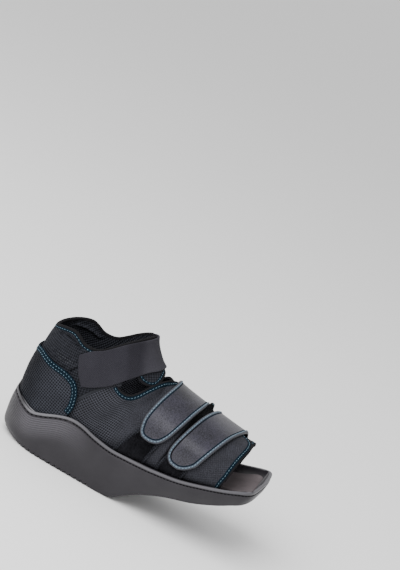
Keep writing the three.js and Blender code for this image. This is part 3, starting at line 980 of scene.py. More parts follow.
def joined(name, pieces):
    """Several meshes made into one."""
    whole = bmesh.new()
    for piece in pieces:
        whole.from_mesh(piece.data)
    mesh = bpy.data.meshes.new(name)
    whole.to_mesh(mesh)
    whole.free()
    obj = bpy.data.objects.new(name, mesh)
    bpy.context.scene.collection.objects.link(obj)
    for piece in pieces:
        bpy.data.objects.remove(piece)
    return obj


def pile_mesh(name, panel, seed):
    """Small loops of pile that stand out of a patch."""
    draw = np.random.default_rng(seed)
    margin, side_margin = PILE_MARGINS
    along = draw.random(PILE_LOOPS) * (panel.last - 2 * margin) + margin
    across = draw.random(PILE_LOOPS) * (1 - 2 * side_margin) + side_margin
    spot = panel.spot(along, across)
    foot = panel.lifted(spot, panel.wall - LOOP_SINK)
    up = unit(panel.lifted(spot, panel.wall + 1) - foot)
    slope = slopes(spot[:, 0], spot[:, 1])[0]
    angle = draw.random(PILE_LOOPS) * 2 * math.pi
    along_cloth = unit(slope)
    across_cloth = np.cross(up, along_cloth)
    lean = along_cloth * np.cos(angle)[:, None] + across_cloth * np.sin(angle)[:, None]
    side = np.cross(up, lean)
    tall = LOOP_TALL[0] + LOOP_TALL[1] * draw.random(PILE_LOOPS)[:, None]
    wide = LOOP_WIDE[0] + LOOP_WIDE[1] * draw.random(PILE_LOOPS)[:, None]
    rings = []
    for turn in np.linspace(0, math.pi, LOOP_RINGS):
        middle = foot - lean * wide * math.cos(turn) + up * tall * math.sin(turn)
        spoke = -lean * math.cos(turn) + up * math.sin(turn)
        ring = []
        for a in np.arange(LOOP_SIDES) * 2 * math.pi / LOOP_SIDES:
            ring.append(middle + LOOP_YARN * (spoke * math.cos(a) + side * math.sin(a)))
        rings.append(np.stack(ring, axis=1))
    return small_tubes(name, rings)


# The sole

def sole_block():
    """The sole before it is hollowed: both sides, bridged across the top and the bottom."""
    outer, inner = SOLE_SIDES
    rows, columns = outer.shape[:2]
    points = np.concatenate([outer.reshape(-1, 3), inner.reshape(-1, 3)])
    index = np.arange(rows * columns).reshape(rows, columns)
    other = index + rows * columns
    bridge_top = np.stack([other[:, 0], index[:, 0]], axis=1)
    bridge_low = np.stack([index[:, -1], other[:, -1]], axis=1)
    faces = grid_quads(index) + grid_quads(other[:, ::-1]) + grid_quads(bridge_top) + grid_quads(bridge_low)
    run = lengths(outer[:, GROOVE_BED])
    drop = lengths(sole_side(SOLE_PLACES, -1, ridged=False))
    flat = np.stack(np.broadcast_arrays(run[:, None], drop), axis=-1).reshape(-1, 2)
    return mesh_object("sole_block", points, facing_out(points, faces), np.concatenate([flat, flat]))


def sole_hollow(stations=90, around=96):
    """The hollow that the upper stands in: the form, swollen to clear the pieces round it."""
    station = np.linspace(0, SOLE_ROOM[-1][0], stations + 1)
    girth = 1 - 2 * np.arange(around) / around
    room = stepped(SOLE_ROOM, station) + SOLE_GAP
    grid = np.broadcast_arrays(station[:, None], girth[None, :], room[:, None])
    points = off_form(*grid).reshape(-1, 3)
    faces = tube_faces(stations + 1, around)
    return mesh_object("sole_hollow", points, facing_out(points, faces), np.zeros((len(points), 2)))


def tread_grooves():
    """All cross grooves of the tread, cut in from both sides and leaving the flat spine whole."""
    bend_x, bend_z = TREAD_HALF_MOUTH * TREAD_BEND[0], TREAD_DEPTH * TREAD_BEND[1]
    section = [
        (-TREAD_HALF_MOUTH, TREAD_BELOW), (TREAD_HALF_MOUTH, TREAD_BELOW), (TREAD_HALF_MOUTH, 0),
        (bend_x, bend_z), (0, TREAD_DEPTH), (-bend_x, bend_z), (-TREAD_HALF_MOUTH, 0)]
    points, faces = [], []
    for number in range(TREAD_GROOVES):
        x = TREAD_START + number * TREAD_PITCH
        for side in (-1, 1):
            start = len(points)
            for y in (TREAD_SPINE, TREAD_REACH):
                points += [(x + dx, side * y, z) for dx, z in section]
            one = facing_out(points[start:], tube_faces(2, len(section)))
            faces += [[start + corner for corner in face] for face in one]
    return mesh_object("tread_grooves", points, faces, np.zeros((len(points), 2)))


def cut_out(piece, *tools):
    """Cuts closed meshes out of a piece."""
    for tool in tools:
        modifier = piece.modifiers.new("cut", "BOOLEAN")
        modifier.object = tool
        modifier.operation = "DIFFERENCE"
        modifier.solver = "MANIFOLD"
    shaped = piece.evaluated_get(bpy.context.evaluated_depsgraph_get())
    mesh = bpy.data.meshes.new_from_object(shaped)
    piece.modifiers.clear()
    piece.data = mesh
    for tool in tools:
        bpy.data.objects.remove(tool)


def welded(piece, distance=1e-6):
    """Closes a mesh where its sides meet at both ends."""
    body = bmesh.new()
    body.from_mesh(piece.data)
    bmesh.ops.remove_doubles(body, verts=body.verts, dist=distance)
    bmesh.ops.dissolve_degenerate(body, edges=body.edges, dist=distance)
    body.to_mesh(piece.data)
    body.free()


def groove_stitches(name, line, sizes):
    """Stitches sunk in the sole's groove, along a line on its bed."""
    out = unit(np.cross(np.gradient(line, axis=0), np.array([0, 0, 1.0])))
    away = line - np.array([SOLE_TOE / 2, 0, 0])
    out = np.where((out * away).sum(axis=1, keepdims=True) < 0, -out, out)
    return stitch_mesh(name, line, out, **sizes)


def make_sole(finish, thread):
    sole = sole_block()
    sole.name = "moulded_sole"
    welded(sole)
    cut_out(sole, sole_hollow(), tread_grooves())
    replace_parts(finish_piece(sole, finish, SOLE_SHARP), "sole")
    outer, inner = (points[:, GROOVE_BED] for points in SOLE_SIDES)
    heel = outer[:, 0] < HEEL_STITCHES
    round_heel = np.concatenate([inner[heel][:0:-1], outer[heel]])
    round_toe = np.concatenate([outer[~heel], inner[~heel][-2::-1]])
    rows = [
        groove_stitches("heel_row", round_heel, HEEL_STITCH),
        groove_stitches("toe_row", round_toe, TOE_STITCH)]
    finish_piece(joined("sole_stitches", rows), thread)


# Finishes

def linear(red, green, blue):
    """A colour given in display values from 0 to 255."""
    values = [value / 255 for value in (red, green, blue)]
    return tuple(v / 12.92 if v <= 0.04045 else ((v + 0.055) / 1.055) ** 2.4 for v in values) + (1.0,)


def node_group(name, inputs, outputs):
    group = bpy.data.node_groups.new(name, "ShaderNodeTree")
    for label, kind, value in inputs:
        socket = group.interface.new_socket(label, in_out="INPUT", socket_type=kind)
        if value is not None:
            socket.default_value = value
    for label in outputs:
        group.interface.new_socket(label, in_out="OUTPUT", socket_type="NodeSocketFloat")
    return group, group.nodes.new("NodeGroupInput"), group.nodes.new("NodeGroupOutput")


def feed(tree, socket, value):
    """Links a socket to another, or sets its value."""
    if isinstance(value, bpy.types.NodeSocket):
        tree.links.new(value, socket)
    else:
        socket.default_value = value


def math_node(tree, operation, *values):
    node = tree.nodes.new("ShaderNodeMath")
    node.operation = operation
    for socket, value in zip(node.inputs, values):
        feed(tree, socket, value)
    return node.outputs[0]


def product(tree, *values):
    return math_node(tree, "MULTIPLY", *values)


def eased(tree, value, low, high, to_low=0.0, to_high=1.0):
    """A value spread smoothly from one range onto another."""
    node = tree.nodes.new("ShaderNodeMapRange")
    node.interpolation_type = "SMOOTHSTEP"
    for name, given in (("Value", value), ("From Min", low), ("From Max", high),
                        ("To Min", to_low), ("To Max", to_high)):
        feed(tree, node.inputs[name], given)
    return node.outputs["Result"]


def between(tree, value, start, end):
    """A share that is 1 between two eased limits of a value and 0 outside them."""
    return product(tree, eased(tree, value, *start), eased(tree, value, *end, 1.0, 0.0))


def noise(tree, vector, scale, detail, roughness):
    node = tree.nodes.new("ShaderNodeTexNoise")
    feed(tree, node.inputs["Vector"], vector)
    for name, given in (("Scale", scale), ("Detail", detail), ("Roughness", roughness)):
        feed(tree, node.inputs[name], given)
    return node.outputs["Fac"]


# Threads of the open mesh and of the close weave, as the part of their waves that counts as thread, and how
# much higher the mesh is where its threads cross
MESH_THREAD = (0.1, 0.8)
MESH_CROSSING = 0.22
WEAVE_THREAD = (-0.8, 0.8)

# Contrast of grain and clouds, what clouds leave of the threads' colour, roughness from holes to threads, and
# the roughness of coatings
CONTRAST = (0.3, 0.7)
WEAR = (0.25, 0.7, 0.6, 1.0)
THREAD_ROUGHNESS = (0, 1, 0.95, 0.6)
COAT_ROUGHNESS = 0.34


def weave_group(name, pitch):
    """A group that weaves threads at a pitch in millimetres and a turn in radians."""
    inputs = [
        ("Vector", "NodeSocketVector", None),
        ("Pitch", "NodeSocketFloat", pitch),
        ("Turn", "NodeSocketFloat", 0.0)]
    return node_group(name, inputs, ["Thread", "Height"])


def turned_split(group, start):
    """A group's vector, turned by its angle and split into its parts."""
    turn = group.nodes.new("ShaderNodeVectorRotate")
    turn.rotation_type = "Z_AXIS"
    feed(group, turn.inputs["Vector"], start.outputs["Vector"])
    feed(group, turn.inputs["Angle"], start.outputs["Turn"])
    split = group.nodes.new("ShaderNodeSeparateXYZ")
    feed(group, split.inputs[0], turn.outputs[0])
    return split


def make_square_mesh():
    """Crossed threads with open holes between them, in flat pattern centimetres."""
    group, start, end = weave_group("square_mesh", 2.3)
    split = turned_split(group, start)
    rate = math_node(group, "DIVIDE", 2 * math.pi * CM, start.outputs["Pitch"])
    threads = []
    for axis in ("X", "Y"):
        phase = product(group, split.outputs[axis], rate)
        threads.append(math_node(group, "COSINE", phase))
    either = math_node(group, "MAXIMUM", *threads)
    both = math_node(group, "ADD", *threads)
    thread = eased(group, either, *MESH_THREAD)
    height = math_node(group, "ADD", thread, product(group, both, MESH_CROSSING))
    feed(group, end.inputs["Thread"], thread)
    feed(group, end.inputs["Height"], height)
    return group


def make_cross_weave():
    """Close plain weave: threads that pass over and under each other, in flat pattern centimetres."""
    group, start, end = weave_group("cross_weave", 1.0)
    split = turned_split(group, start)
    rate = math_node(group, "DIVIDE", math.pi * CM, start.outputs["Pitch"])
    u = product(group, split.outputs["X"], rate)
    v = product(group, split.outputs["Y"], rate)
    over = product(group, math_node(group, "SINE", u), math_node(group, "SINE", v))
    feed(group, end.inputs["Thread"], eased(group, over, *WEAVE_THREAD))
    feed(group, end.inputs["Height"], over)
    return group


def make_fine_grain():
    """Fine grain and broad clouding, in object metres."""
    group, start, end = node_group(
        "fine_grain",
        [("Grain", "NodeSocketFloat", 900.0), ("Cloud", "NodeSocketFloat", 40.0)],
        ["Grain", "Cloud"])
    where = group.nodes.new("ShaderNodeTexCoord")
    grain = noise(group, where.outputs["Object"], start.outputs["Grain"], detail=2.0, roughness=0.6)
    cloud = noise(group, where.outputs["Object"], start.outputs["Cloud"], detail=4.0, roughness=0.55)
    feed(group, end.inputs["Grain"], grain)
    feed(group, end.inputs["Cloud"], cloud)
    return group


SQUARE_MESH = make_square_mesh()
CROSS_WEAVE = make_cross_weave()
FINE_GRAIN = make_fine_grain()


class Finish:
    """A material that is being made: its tree, its shader and the helpers that wire them."""

    def __init__(self, name, roughness, specular):
        self.material = bpy.data.materials.new(name)
        self.material.use_nodes = True
        self.tree = self.material.node_tree
        self.shader = self.tree.nodes["Principled BSDF"]
        self.shader.inputs["Roughness"].default_value = roughness
        self.shader.inputs["Specular IOR Level"].default_value = specular
        self.shader.inputs["Coat Roughness"].default_value = COAT_ROUGHNESS

    def flat(self):
        node = self.tree.nodes.new("ShaderNodeUVMap")
        node.uv_map = "flat_pattern"
        return node.outputs["UV"]

    def flat_parts(self):
        """The two parts of a place on the flat pattern."""
        split = self.tree.nodes.new("ShaderNodeSeparateXYZ")
        feed(self.tree, split.inputs[0], self.flat())
        return split.outputs["X"], split.outputs["Y"]

    def group(self, group, **values):
        node = self.tree.nodes.new("ShaderNodeGroup")
        node.node_tree = group
        for name, value in values.items():
            feed(self.tree, node.inputs[name], value)
        return node.outputs

    def colours(self, share, low, high):
        """Base colour from low to high as share goes from 0 to 1."""
        node = self.tree.nodes.new("ShaderNodeMix")
        node.data_type = "RGBA"
        feed(self.tree, node.inputs["Factor"], share)
        for socket, colour in (("A", low), ("B", high)):
            given = [i for i in node.inputs if i.name == socket and i.type == "RGBA"][0]
            feed(self.tree, given, colour)
        return [o for o in node.outputs if o.type == "RGBA"][0]

    def paint(self, colour):
        feed(self.tree, self.shader.inputs["Base Color"], colour)

    def rough(self, value):
        feed(self.tree, self.shader.inputs["Roughness"], value)

    def coated(self, weight):
        feed(self.tree, self.shader.inputs["Coat Weight"], weight)

    def raised(self, *layers):
        """Relief from (height, millimetres) layers, laid one on another."""
        normal = None
        for height, depth in layers:
            bump = self.tree.nodes.new("ShaderNodeBump")
            bump.inputs["Distance"].default_value = depth * MM
            feed(self.tree, bump.inputs["Height"], height)
            if normal is not None:
                feed(self.tree, bump.inputs["Normal"], normal)
            normal = bump.outputs["Normal"]
        feed(self.tree, self.shader.inputs["Normal"], normal)


def reach_along(tree, direction):
    """How far a spot of the shoe lies along a direction, in metres."""
    where = tree.nodes.new("ShaderNodeTexCoord")
    reach = tree.nodes.new("ShaderNodeVectorMath")
    reach.operation = "DOT_PRODUCT"
    feed(tree, reach.inputs[0], where.outputs["Object"])
    reach.inputs[1].default_value = tuple(float(part) for part in direction)
    return reach.outputs["Value"]


def gap_shade_share(tree):
    """A share that is 1 in the gap between the forefoot straps, where shade is painted, and 0 away from it.
    """
    spot = np.array(CURL_STATION), np.array(GAP_SHADE_GIRTH)
    across = unit(slopes(*spot)[0])
    past = math_node(tree, "SUBTRACT", reach_along(tree, across), float(placed(on_form(*spot)) @ across))
    beside = eased(tree, math_node(tree, "ABSOLUTE", past), *GAP_SHADE_SPREAD, 1.0, 0.0)
    above = eased(tree, reach_along(tree, UPWARD), *GAP_SHADE_RISE)
    return product(tree, beside, above)


def counter_cloth(hole, thread):
    """Open mesh at a turn to its cut, with painted shade round the back of the heel."""
    finish = Finish("counter_mesh", roughness=0.75, specular=0.06)
    tree = finish.tree
    mesh = finish.group(SQUARE_MESH, Vector=finish.flat(), Pitch=2.45, Turn=COUNTER_TURN)
    grain = finish.group(FINE_GRAIN, Grain=1500.0, Cloud=60.0)
    worn = product(tree, mesh["Thread"], eased(tree, grain["Cloud"], *WEAR))
    # Painted shade: the mesh turns near black round the back of the heel
    back = eased(tree, reach_along(tree, LENGTHWISE), *HEEL_BACK_SHADE, 0.6, 0.0)
    finish.paint(finish.colours(back, finish.colours(worn, hole, thread), linear(7, 7, 9)))
    finish.rough(eased(tree, mesh["Thread"], *THREAD_ROUGHNESS))
    finish.raised((mesh["Height"], 0.5), (grain["Grain"], 0.12))
    return finish.material


def quarter_cloth(hole, thread):
    """Open mesh that passes into a close weave toward the toe, with painted shade in the gap between the
    forefoot straps.
    """
    finish = Finish("quarter_mesh", roughness=0.75, specular=0.1)
    tree = finish.tree
    mesh = finish.group(SQUARE_MESH, Vector=finish.flat(), Pitch=2.6)
    weave = finish.group(CROSS_WEAVE, Vector=finish.flat(), Pitch=1.3)
    grain = finish.group(FINE_GRAIN, Grain=1000.0, Cloud=60.0)
    place = reach_along(tree, LENGTHWISE)
    open_share = eased(tree, place, *OPEN_MESH_END, 1.0, 0.0)
    close_share = eased(tree, place, *OPEN_MESH_END)
    rear = product(tree, mesh["Thread"], open_share)
    woven = eased(tree, weave["Thread"], 0, 1, 0.3, 0.66)
    speckled = product(tree, woven, eased(tree, grain["Grain"], *CONTRAST, 0.5, 1.35))
    front = product(tree, speckled, close_share)
    cover = math_node(tree, "ADD", rear, front)
    worn = product(tree, cover, eased(tree, grain["Cloud"], *WEAR))
    cloth = finish.colours(worn, hole, thread)
    # Painted shade: the cloth turns near black in the gap between the forefoot straps
    finish.paint(finish.colours(gap_shade_share(tree), cloth, linear(2, 2, 3)))
    finish.rough(eased(tree, cover, *THREAD_ROUGHNESS))
    finish.raised(
        (product(tree, mesh["Height"], open_share), 0.5),
        (product(tree, weave["Height"], close_share), 0.2),
        (grain["Grain"], 0.12))
    return finish.material


def tape_gap_shade(finish, cloth):
    """A tape's colour, with painted shade in the gap between the forefoot straps."""
    return finish.colours(gap_shade_share(finish.tree), cloth, linear(5, 5, 6))


def webbing_turn_shading(finish, cloth):
    """The webbing's colour, with painted shade and then painted light where the strap turns across the front.
    """
    tree = finish.tree
    place = reach_along(tree, STRAP_RUN)
    # Painted shade over the strap's turn, then painted light past its end
    dark = product(tree, eased(tree, place, *TURN_SHADE_START, 0.0, 0.28), eased(tree, place, *TURN_SHADE_END, 1.0, 0.0))
    turn_shaded = finish.colours(dark, cloth, linear(20, 19, 23))
    return finish.colours(eased(tree, place, *TURN_SHADE_END, 0.0, 0.4), turn_shaded, linear(62, 61, 66))


def woven_cloth(name, low, high, pitch=0.9, relief=0.12, turn=0.0, cloud=70.0, tone=None):
    """Close plain weave with clouding; tone may paint shade and light on its colour by place."""
    finish = Finish(name, roughness=0.9, specular=0.12)
    tree = finish.tree
    weave = finish.group(CROSS_WEAVE, Vector=finish.flat(), Pitch=pitch, Turn=turn)
    grain = finish.group(FINE_GRAIN, Grain=1800.0, Cloud=cloud)
    mixed = math_node(tree, "ADD", product(tree, weave["Thread"], 0.5), product(tree, grain["Cloud"], 0.5))
    cloth = finish.colours(mixed, low, high)
    finish.paint(tone(finish, cloth) if tone else cloth)
    finish.raised((weave["Height"], relief), (grain["Grain"], 0.1))
    return finish.material


def grained(name, low, high, roughness, grain_size, relief, specular=0.2, mottle=0.0, coat=0.0):
    """A moulded, coated or fuzzy finish with grain and clouding; mottle is the grain's share of them."""
    finish = Finish(name, roughness=roughness, specular=specular)
    tree = finish.tree
    grain = finish.group(FINE_GRAIN, Grain=1000 / grain_size, Cloud=35.0)
    speckle = product(tree, grain["Grain"], mottle)
    shade = math_node(tree, "ADD", product(tree, grain["Cloud"], 1 - mottle), speckle)
    finish.paint(finish.colours(eased(tree, shade, *CONTRAST), low, high))
    finish.rough(eased(tree, grain["Grain"], 0.2, 0.8, roughness - 0.08, roughness + 0.08))
    if coat:
        finish.coated(eased(tree, grain["Grain"], *CONTRAST, coat * 0.7, coat * 1.15))
    finish.raised((grain["Grain"], relief))
    return finish.material


# Where the pale face of the straps' edging gives way to its side, which has painted shade, in centimetres
# round its section
EDGING_SHADED_SIDE = (0.19, 0.26)

# Eased limits on the sole's flat pattern, in centimetres. A drop counts from inside the lip down the wall,
# and a run from the back of the heel to the toe. They bound the fine lines, the painted highlight on the
# rim's bead, the painted shade in the valley beside the heel's second ridge, the changes along the rim of
# that painted highlight, and the painted light on the upper wall where the fine lines run.
LINES_DROP = ((1.45, 1.6), (2.0, 4.2))
LINES_RUN_END = (7.0, 13.0)
BEAD_HIGHLIGHT_DROP = ((0.55, 0.62), (1.1, 1.2))
VALLEY_SHADE_DROP = ((0.79, 0.82), (0.875, 0.9))
VALLEY_SHADE_RUN_END = (4.7, 5.4)
RIM_HIGHLIGHT_HEEL_END = (3.4, 4.9)
RIM_HIGHLIGHT_SIDE_END = (6.0, 12.0)
LIT_RUN_START = (2.8, 5.2)


def rolled_edging():
    """Coated edging: a pale stitched face, and a side where it rolls under, darkened with painted shade."""
    finish = Finish("strap_edging", roughness=0.5, specular=0.25)
    tree = finish.tree
    grain = finish.group(FINE_GRAIN, Grain=1000 / 0.7, Cloud=35.0)
    speckle = eased(tree, grain["Grain"], *CONTRAST)
    face = finish.colours(speckle, linear(44, 50, 60), linear(79, 88, 101))
    # The side is painted shade: a darker copy of the face's colour
    side = finish.colours(speckle, linear(44, 45, 50), linear(62, 63, 69))
    round_section = finish.flat_parts()[1]
    finish.paint(finish.colours(eased(tree, round_section, *EDGING_SHADED_SIDE), face, side))
    finish.raised((grain["Grain"], 0.25))
    return finish.material


def sole_foam():
    """Moulded foam with fine grain, and fine lines that follow the rim round the heel, with painted light and
    shade.
    """
    finish = Finish("sole_foam", roughness=0.45, specular=0.3)
    tree = finish.tree
    grain = finish.group(FINE_GRAIN, Grain=1400.0, Cloud=30.0)
    run, drop = finish.flat_parts()
    wave = math_node(tree, "SINE", product(tree, drop, 2 * math.pi * CM / LINE_PITCH))
    near = product(tree, between(tree, drop, *LINES_DROP), eased(tree, run, *LINES_RUN_END, 1.0, 0.0))
    lines = product(tree, wave, near)
    # Painted highlight on the rim's bead
    bead = between(tree, drop, *BEAD_HIGHLIGHT_DROP)
    # Painted shade in the valley beside the heel's second ridge
    valley = product(tree, between(tree, drop, *VALLEY_SHADE_DROP), eased(tree, run, *VALLEY_SHADE_RUN_END, 1.0, 0.0))
    wall = finish.colours(eased(tree, grain["Cloud"], *CONTRAST), linear(33, 31, 35), linear(39, 37, 41))
    # Painted light on the upper heel wall where the fine lines run, weaker at the heel's back
    lit_share = product(tree, near, eased(tree, run, *LIT_RUN_START, 0.25, 1.0))
    worn = finish.colours(lit_share, wall, linear(74, 72, 77))
    # Painted shade in the grooves of the fine lines
    groove_shaded = finish.colours(eased(tree, lines, 0.0, -1.0, 0.0, 0.45), worn, linear(22, 21, 23))
    # The bead's painted highlight: dim at the heel's back, palest just after it, less pale toward the toe
    rim = finish.colours(eased(tree, run, *RIM_HIGHLIGHT_HEEL_END), linear(56, 55, 58), linear(96, 95, 99))
    rim = finish.colours(eased(tree, run, *RIM_HIGHLIGHT_SIDE_END), rim, linear(77, 76, 80))
    finish.paint(finish.colours(valley, finish.colours(bead, groove_shaded, rim), linear(24, 23, 25)))
    finish.rough(eased(tree, grain["Grain"], 0.2, 0.8, 0.38, 0.5))
    finish.raised((lines, 0.3), (grain["Grain"], 0.1))
    return finish.material


def make_finishes():
    sewing = {"roughness": 0.6, "grain_size": 0.3, "relief": 0.05}
    return {
        "sole": sole_foam(),
        "insole": grained(
            "insole_cover", linear(81, 75, 77), linear(99, 92, 94),
            roughness=0.85, grain_size=0.7, relief=0.12, specular=0.1),
        "quarter": quarter_cloth(linear(28, 28, 31), linear(60, 61, 68)),
        "counter": counter_cloth(linear(27, 27, 31), linear(56, 58, 65)),
        "padding": woven_cloth(
            "padded_knit", linear(2, 3, 5), linear(47, 48, 54),
            pitch=1.8, relief=0.5, turn=KNIT_TURN, cloud=240.0),
        "seam": woven_cloth("seam_lap", linear(28, 29, 32), linear(50, 51, 56)),
        "binding": woven_cloth("black_binding", linear(13, 13, 15), linear(27, 26, 28), relief=0.1),
        # The tape gets painted shade in the gap between the forefoot straps
        "tape": woven_cloth("blue_tape", linear(3, 14, 22), linear(7, 26, 38), tone=tape_gap_shade),
        "thread": grained("blue_thread", linear(94, 115, 126), linear(114, 136, 146), **sewing),
        "grey_thread": grained("grey_thread", linear(70, 72, 76), linear(92, 94, 98), **sewing),
        "dark_thread": grained(
            "dark_thread", linear(4, 4, 5), linear(9, 9, 10),
            roughness=0.7, grain_size=0.3, relief=0.05, specular=0.1),
        "pile": grained(
            "loop_pile", linear(15, 15, 18), linear(31, 31, 35),
            roughness=0.95, grain_size=0.4, relief=0.3, specular=0.1),
        "leather": grained(
            "coated_strap", linear(8, 8, 13), linear(43, 41, 54),
            roughness=0.5, grain_size=1.1, relief=0.3, specular=0.1, mottle=0.5, coat=0.8),
        "edging": rolled_edging(),
        # The webbing gets painted shade and painted light over the strap's turn
        "webbing": woven_cloth("ankle_webbing", linear(31, 30, 35), linear(49, 48, 54), tone=webbing_turn_shading),
    }


# Soft pieces

def line_spots(line, count):
    """Spots along a line on the collar."""
    return along_rows(line, np.linspace(0, len(line) - 1, count))


def from_line(station, girth, line):
    """Distance over the form from a line of spots, which both sides of the shoe have."""
    path = line_spots(line, CREASE_SPOTS)
    path = on_form(path[:, 0], path[:, 1])
    near_side = np.where(girth < BACK, 2 * BACK - girth, girth)
    here = on_form(station, near_side)
    return np.linalg.norm(here[..., None, :] - path, axis=-1).min(axis=-1)


def waves(rows, station, girth):
    """Height of waves in the cloth at stations and girths."""
    return sum(height * np.sin(a * station + b * girth + phase) for height, a, b, phase in rows)


def collar_relief(station, girth):
    """Sunk lines at the crease, the quilting and the fold, with puckers near them where the collar bends."""
    relief = waves(COLLAR_WAVES, station, girth)
    nearest = np.full(np.shape(station), np.inf)
    for line, depth, width in COLLAR_LINES:
        distance = from_line(station, girth, line)
        nearest = np.minimum(nearest, distance)
        relief = relief - depth * np.exp(-(distance / width) ** 2)
    ripple = waves(PUCKERS, station, np.abs(girth - BACK))
    return relief + np.exp(-(nearest / PUCKER_REACH) ** 2) * ripple


def cloth_relief(station, girth):
    """Slight unevenness of cloth that is drawn tight."""
    return CLOTH_HEIGHT * waves(CLOTH_WAVES, station, girth)


def outer_cloth_relief(station, girth):
    """The edge of the outer flap also curls up in the gap between the forefoot straps."""
    along = (station - CURL_STATION) / CURL_SPREAD
    return cloth_relief(station, girth) + CURL_HEIGHT * smooth(girth, *CURL_CLIMB) * np.exp(-along ** 4)


def make_quarter(side, rows, base, relief, finishes):
    node = f"{side}_quarter"
    panel = Panel(rows, QUARTER_WALL, base, relief)
    cloth, cut = panel_mesh(f"{node}_mesh", panel, QUARTER_STEP)
    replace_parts(finish_piece(cloth, finishes["quarter"]), node)
    rim = edge_line(panel, [(THROAT_START, 0), (panel.last, 0), (panel.last, 1)])
    binding = edge_band(f"{node}_binding", panel, rim, binding_section(QUARTER_WALL, **QUARTER_BINDING))
    finish_piece(binding, finishes["binding"])
    tape = edge_band(f"{node}_tape", panel, rim, tape_section(QUARTER_WALL, **QUARTER_TAPE))
    finish_piece(tape, finishes["tape"])
    stitches = stitch_row(f"{node}_stitches", panel, rim, **QUARTER_ROW)
    finish_piece(stitches, finishes["thread"])
    seam_line = edge_line(panel, [(0, SEAM_LOW), (0, 0), (SEAM_FRONT, 0)])
    seam = edge_band(f"{node}_seam", panel, seam_line, seam_section(QUARTER_WALL))
    finish_piece(seam, finishes["seam"])


def quilting_rows(panel):
    """Rows of stitches along the collar's quilting, on both sides of the shoe."""
    rows = []
    for row in (QUILTING, LOW_QUILTING):
        for inner_side in (False, True):
            line = line_spots(row, QUILTING_SPOTS)
            if inner_side:
                line[:, 1] = 2 * BACK - line[:, 1]
            low = panel.lifted(line, panel.wall)
            out = panel.lifted(line, panel.wall + 1) - low
            rows.append(stitch_mesh(f"row_{len(rows)}", low, out, **QUILTING_STITCH))
    return rows


def make_collar(finishes):
    inner = mirrored(COLLAR_OUTER[COLLAR_SHARED:-1], BACK)[::-1] + COLLAR_INNER_END
    panel = Panel(COLLAR_OUTER + inner, COLLAR_WALL, 0.0, collar_relief)
    padding, _ = panel_mesh("ankle_collar_padding", panel, COLLAR_STEP, COLLAR_GRAIN)
    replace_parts(finish_piece(padding, finishes["padding"]), "ankle_collar")
    start, end = COLLAR_TRIM_ENDS
    rim = edge_line(panel, [(start, 1), (0, 1), (0, 0), (panel.last, 0), (panel.last, 1), (end, 1)])
    binding = edge_band("collar_binding", panel, rim, binding_section(COLLAR_WALL, **COLLAR_BINDING))
    finish_piece(binding, finishes["binding"])
    tape = edge_band("collar_tape", panel, rim, tape_section(COLLAR_WALL, **COLLAR_TAPE))
    finish_piece(tape, finishes["tape"])
    stitches = stitch_row("collar_stitches", panel, rim, **COLLAR_ROW)
    finish_piece(stitches, finishes["thread"])
    quilting = joined("collar_quilting", quilting_rows(panel))
    finish_piece(quilting, finishes["grey_thread"])


def make_counter(finishes):
    panel = Panel(COUNTER + mirrored(COUNTER[-2::-1], BACK), COUNTER_WALL, COLLAR_WALL + GAP)
    cloth, cut = panel_mesh("heel_counter_mesh", panel, COUNTER_STEP, COUNTER_GRAIN)
    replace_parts(finish_piece(cloth, finishes["counter"]), "heel_counter")
    start, end = COUNTER_TRIM_END, panel.last - COUNTER_TRIM_END
    corners = [(start, 1), (0, 1), (0, 0), (panel.last, 0), (panel.last, 1), (end, 1)]
    rim = edge_line(panel, corners, rounding=COUNTER_ROUNDING)
    tape = edge_band("counter_tape", panel, rim, tape_section(COUNTER_WALL, **COUNTER_TAPE))
    finish_piece(tape, finishes["tape"])
    rows = [stitch_row(f"row_{row['inward']}", panel, rim, **row) for row in COUNTER_ROWS]
    stitches = joined("counter_stitches", rows)
    finish_piece(stitches, finishes["thread"])


def make_loop_patch(place, rows, seed, finishes):
    panel = Panel(rows, LOOP_WALL, QUARTER_WALL + GAP)
    patch, cut = panel_mesh(f"loop_patch_{place}_cloth", panel, LOOP_STEP)
    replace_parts(finish_piece(patch, finishes["pile"]), f"loop_patch_{place}")
    pile = pile_mesh(f"loop_patch_{place}_pile", panel, seed)
    finish_piece(pile, finishes["pile"])
    section = tape_section(LOOP_WALL, **PATCH_BORDER)
    for name, row in (("back", 0), ("front", panel.last)):
        rim = edge_line(panel, [(row, 0), (row, 1)])
        border = edge_band(f"loop_patch_{place}_{name}_border", panel, rim, section)
        finish_piece(border, finishes["padding"])


def make_strap(place, rows, finishes):
    panel = Panel(rows, STRAP_WALL, strap_height)
    strap, cut = panel_mesh(f"forefoot_strap_{place}_leather", panel, STRAP_STEP)
    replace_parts(finish_piece(strap, finishes["leather"]), f"forefoot_strap_{place}")
    corners = [(panel.last, 0), (0, 0), (0, 1), (panel.last, 1)]
    rim = edge_line(panel, corners, rounding=STRAP_ROUNDING)
    section = binding_section(STRAP_WALL, **STRAP_EDGING)
    edging = edge_band(f"forefoot_strap_{place}_edging", panel, rim, section)
    finish_piece(edging, finishes["edging"])
    section = tape_section(STRAP_WALL, **STRAP_TAPE)
    groove = edge_band(f"forefoot_strap_{place}_tape", panel, rim, section)
    finish_piece(groove, finishes["tape"])
    end = edge_line(panel, [(panel.last, 0), (panel.last, 1)])
    rows = [stitch_row("row_edge", panel, rim, **STRAP_ROW)]
    rows += [stitch_row(f"row_{row['inward']}", panel, end, **row) for row in STRAP_END_ROWS]
    stitches = joined(f"forefoot_strap_{place}_stitches", rows)
    finish_piece(stitches, finishes["thread"])


